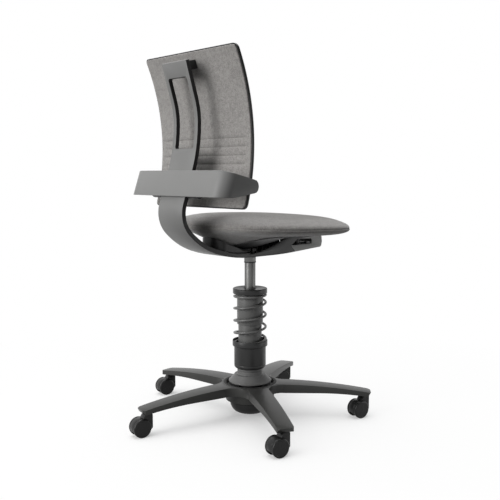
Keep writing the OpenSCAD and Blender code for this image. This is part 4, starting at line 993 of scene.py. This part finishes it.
# Two ribs of the pan stand beside the lever and brace it on the strip. They are a guess: the photo
# shows no daylight through the cheek's window.
ribs = bmesh.new()
for side in (-1, 1):
    corners = {}
    for y, z in ((RIB_FROM_Y, RIB_LOW[0]), (RIB_TO_Y, RIB_LOW[1]), (RIB_TO_Y, RIB_TOP), (RIB_FROM_Y, RIB_TOP)):
        for half in (-1, 1):
            corners[y, z, half] = ribs.verts.new(((side * RIB_X + half * RIB_T / 2) / 1000, y / 1000, z / 1000))
    loop = list(corners.values())
    ribs.faces.new(loop[0::2])
    ribs.faces.new(loop[1::2])
    for i in range(4):
        k = (i + 1) % 4
        ribs.faces.new((loop[2 * i], loop[2 * i + 1], loop[2 * k + 1], loop[2 * k]))
bmesh.ops.recalc_face_normals(ribs, faces=ribs.faces)
fit(finish_mesh(eased(new_piece("pan_ribs", ribs), 1.2), nylon), "seat", "black_nylon")
fit(solid_copy("height_lever_arm", "height_lever", 0.8, nylon), "lever", "black_nylon", "height_lever")

# ---- Stitches
# Lock stitches of grey thread lie in the panel's channels. They are laid along each channel's line
# by geometry nodes.
STITCH_PITCH = 0.005
STITCH_LENGTH = 0.0036
STITCH_R = 0.00045
STITCH_SPANS = 12
THREAD_GREY = "#6d6a67"

thread = moulded("sewing_thread", THREAD_GREY, 0.7, 0.0006, 0.3)
tree, given, output = new_tree("stitch_row", Pitch=STITCH_PITCH, Length=STITCH_LENGTH, Radius=STITCH_R)
path = add(tree, "GeometryNodeMeshToCurve", {"Mesh": given.outputs[0]})
spots = add(tree, "GeometryNodeCurveToPoints", {"Curve": path.outputs[0], "Length": given.outputs["Pitch"]},
            mode="LENGTH")
bead = add(tree, "GeometryNodeMeshCylinder", {"Vertices": 6, "Radius": given.outputs["Radius"],
                                              "Depth": given.outputs["Length"]})
laid = add(tree, "GeometryNodeInstanceOnPoints", {
    "Points": spots.outputs["Points"], "Instance": bead.outputs["Mesh"], "Rotation": spots.outputs["Rotation"]})
close_tree(tree, output, laid.outputs[0], thread)
rows = bpy.data.meshes.new("panel_stitches")
points, edges = [], []
for z in CHANNEL_ZS:
    for i in range(STITCH_SPANS + 1):
        x = (CHANNEL_HALF_W - 3) * (2 * i / STITCH_SPANS - 1)
        bulge = 2 * (1 - (2 * x / BACK_W) ** 2) * (1 - ((z - pad_mid) / pad_half_h) ** 2)
        points.append(on_back(x, z, CHANNEL_DEPTH - bulge - STITCH_R / 3 * 1000))
        if i:
            edges.append((len(points) - 2, len(points) - 1))
rows.from_pydata(points, edges, [])
stitches = placed("panel_stitches", rows)
grown(stitches, tree, Pitch=STITCH_PITCH)
fit(stitches, "backrest", "melange_fabric")

# ---- Screws
# Blackened steel screws with a hexagon socket hold the hub's dome. One screw is turned once and set on
# each place by geometry nodes. The screws that hold the seat keep their CAD shape.
SOCKET_SHARE = 0.42


def screw_set(name, body, node, places, head_r, head_h, shank_r, shank):
    """Screws that point up, their heads' lower faces at the given places, in millimetres."""
    tree, given, output = new_tree(name, HeadRadius=head_r / 1000, HeadHeight=head_h / 1000,
                                   ShankRadius=shank_r / 1000, Shank=shank / 1000)
    head = add(tree, "GeometryNodeMeshCylinder", {"Vertices": 32, "Radius": given.outputs["HeadRadius"],
                                                  "Depth": given.outputs["HeadHeight"]})
    bore = calc(tree, "MULTIPLY", given.outputs["HeadRadius"], SOCKET_SHARE)
    socket = add(tree, "GeometryNodeMeshCylinder", {"Vertices": 6, "Radius": bore,
                                                    "Depth": given.outputs["HeadHeight"]})
    down = add(tree, "ShaderNodeCombineXYZ", {"Z": calc(tree, "MULTIPLY", given.outputs["HeadHeight"], -0.5)})
    sunk = add(tree, "GeometryNodeTransform", {"Geometry": socket.outputs["Mesh"], "Translation": down.outputs[0]})
    cut = add(tree, "GeometryNodeMeshBoolean", {"Mesh 1": head.outputs["Mesh"], "Mesh 2": sunk.outputs[0]},
              operation="DIFFERENCE")
    shaft = add(tree, "GeometryNodeMeshCylinder", {"Vertices": 24, "Radius": given.outputs["ShankRadius"],
                                                   "Depth": given.outputs["Shank"]})
    up = add(tree, "ShaderNodeCombineXYZ", {"Z": calc(tree, "MULTIPLY", given.outputs["Shank"], 0.5)})
    raised = add(tree, "GeometryNodeTransform", {"Geometry": shaft.outputs["Mesh"], "Translation": up.outputs[0]})
    whole = add(tree, "GeometryNodeJoinGeometry")
    tree.links.new(cut.outputs["Mesh"], whole.inputs[0])
    tree.links.new(raised.outputs[0], whole.inputs[0])
    put = add(tree, "GeometryNodeInstanceOnPoints", {"Points": given.outputs[0], "Instance": whole.outputs[0]})
    close_tree(tree, output, put.outputs[0], black_steel)
    mesh = bpy.data.meshes.new(name)
    mesh.from_pydata([(x / 1000, y / 1000, (z + head_h / 2) / 1000) for x, y, z in places], [], [])
    screws = placed(name, mesh)
    grown(screws, tree, Shank=shank / 1000)
    screws.data.shade_smooth()
    screws.data.set_sharp_from_angle(angle=math.radians(30))
    fit(screws, body, "dark_steel", node)


dome_places = [(DOME_SCREW_R * math.cos(a), DOME_SCREW_R * math.sin(a), DOME_SCREW_Z)
               for a in (math.radians(45 + 120 * k) for k in range(3))]
screw_set("dome_screw_set", "base", "dome_screws", dome_places, 3.6, 3, 1.9, 15.5)
fit(solid_copy("seat_screw_set", "seat_screws", 0.4, black_steel), "seat", "dark_steel", "seat_screws")

# ---- Castors
# Twin-wheel castors of black nylon: a hood over and behind the two wheels, a stem housing in front of
# it, and disc-faced wheels with a rounded tread. They trail to the chair's rear, as in the photo.
WHEEL_R = 25
STEM_CIRCLE = 326
TRAIL = 20
BASE_TURN = 80.3
WHEEL_BLACK = "#1c1c1c"
HOOD_BLACK = "#202020"
WHEEL_OUTLINE = [(4.05, 1.8), (20.9, 1.8), (20.9, 11.3), (24, 11.3), (24.7, 11.7), (25, 12.5), (25, 16.2),
                 (24.7, 17.4), (23.9, 18.5), (22.6, 19.2), (21, 19.5), (20.4, 19.4), (20, 19.1), (19.5, 19.1),
                 (19.1, 19.4), (12, 19.5), (0, 19.5), (0, 17.5), (4.05, 17.5)]

wheel_nylon = moulded("moulded_wheel_nylon", WHEEL_BLACK, 0.28, 0.0016, 0.1, gloss=0.25)
hood_nylon = moulded("moulded_hood_nylon", HOOD_BLACK, 0.28, 0.0012, 0.12, gloss=0.25)
heading = math.radians(BASE_TURN)
axle = Vector((-math.sin(heading), math.cos(heading), 0))
for n in range(1, 6):
    arm = heading + math.radians(72 * (n - 1))
    hub = Vector((STEM_CIRCLE * math.cos(arm) + TRAIL * math.cos(heading),
                  STEM_CIRCLE * math.sin(arm) + TRAIL * math.sin(heading), WHEEL_R)) / 1000
    yoke = f"castor_yoke_{n}"
    fit(solid_copy(f"castor_hood_{n}", yoke, 0.9, hood_nylon), f"castor_{n}", "black_nylon", yoke)
    for side, sign in (("left", 1), ("right", -1)):
        wheel = lathe(f"castor_{n}_{side}_disc", WHEEL_OUTLINE, 72)
        turn = (axle * sign).to_track_quat("Z", "Y").to_matrix().to_4x4()
        wheel.data.transform(turn)
        wheel.data.transform(Matrix.Translation(hub))
        finish_mesh(wheel, wheel_nylon)
        fit(wheel, f"castor_{n}_{side}_wheel", "wheel_nylon", f"wheel_{side}_{n}")
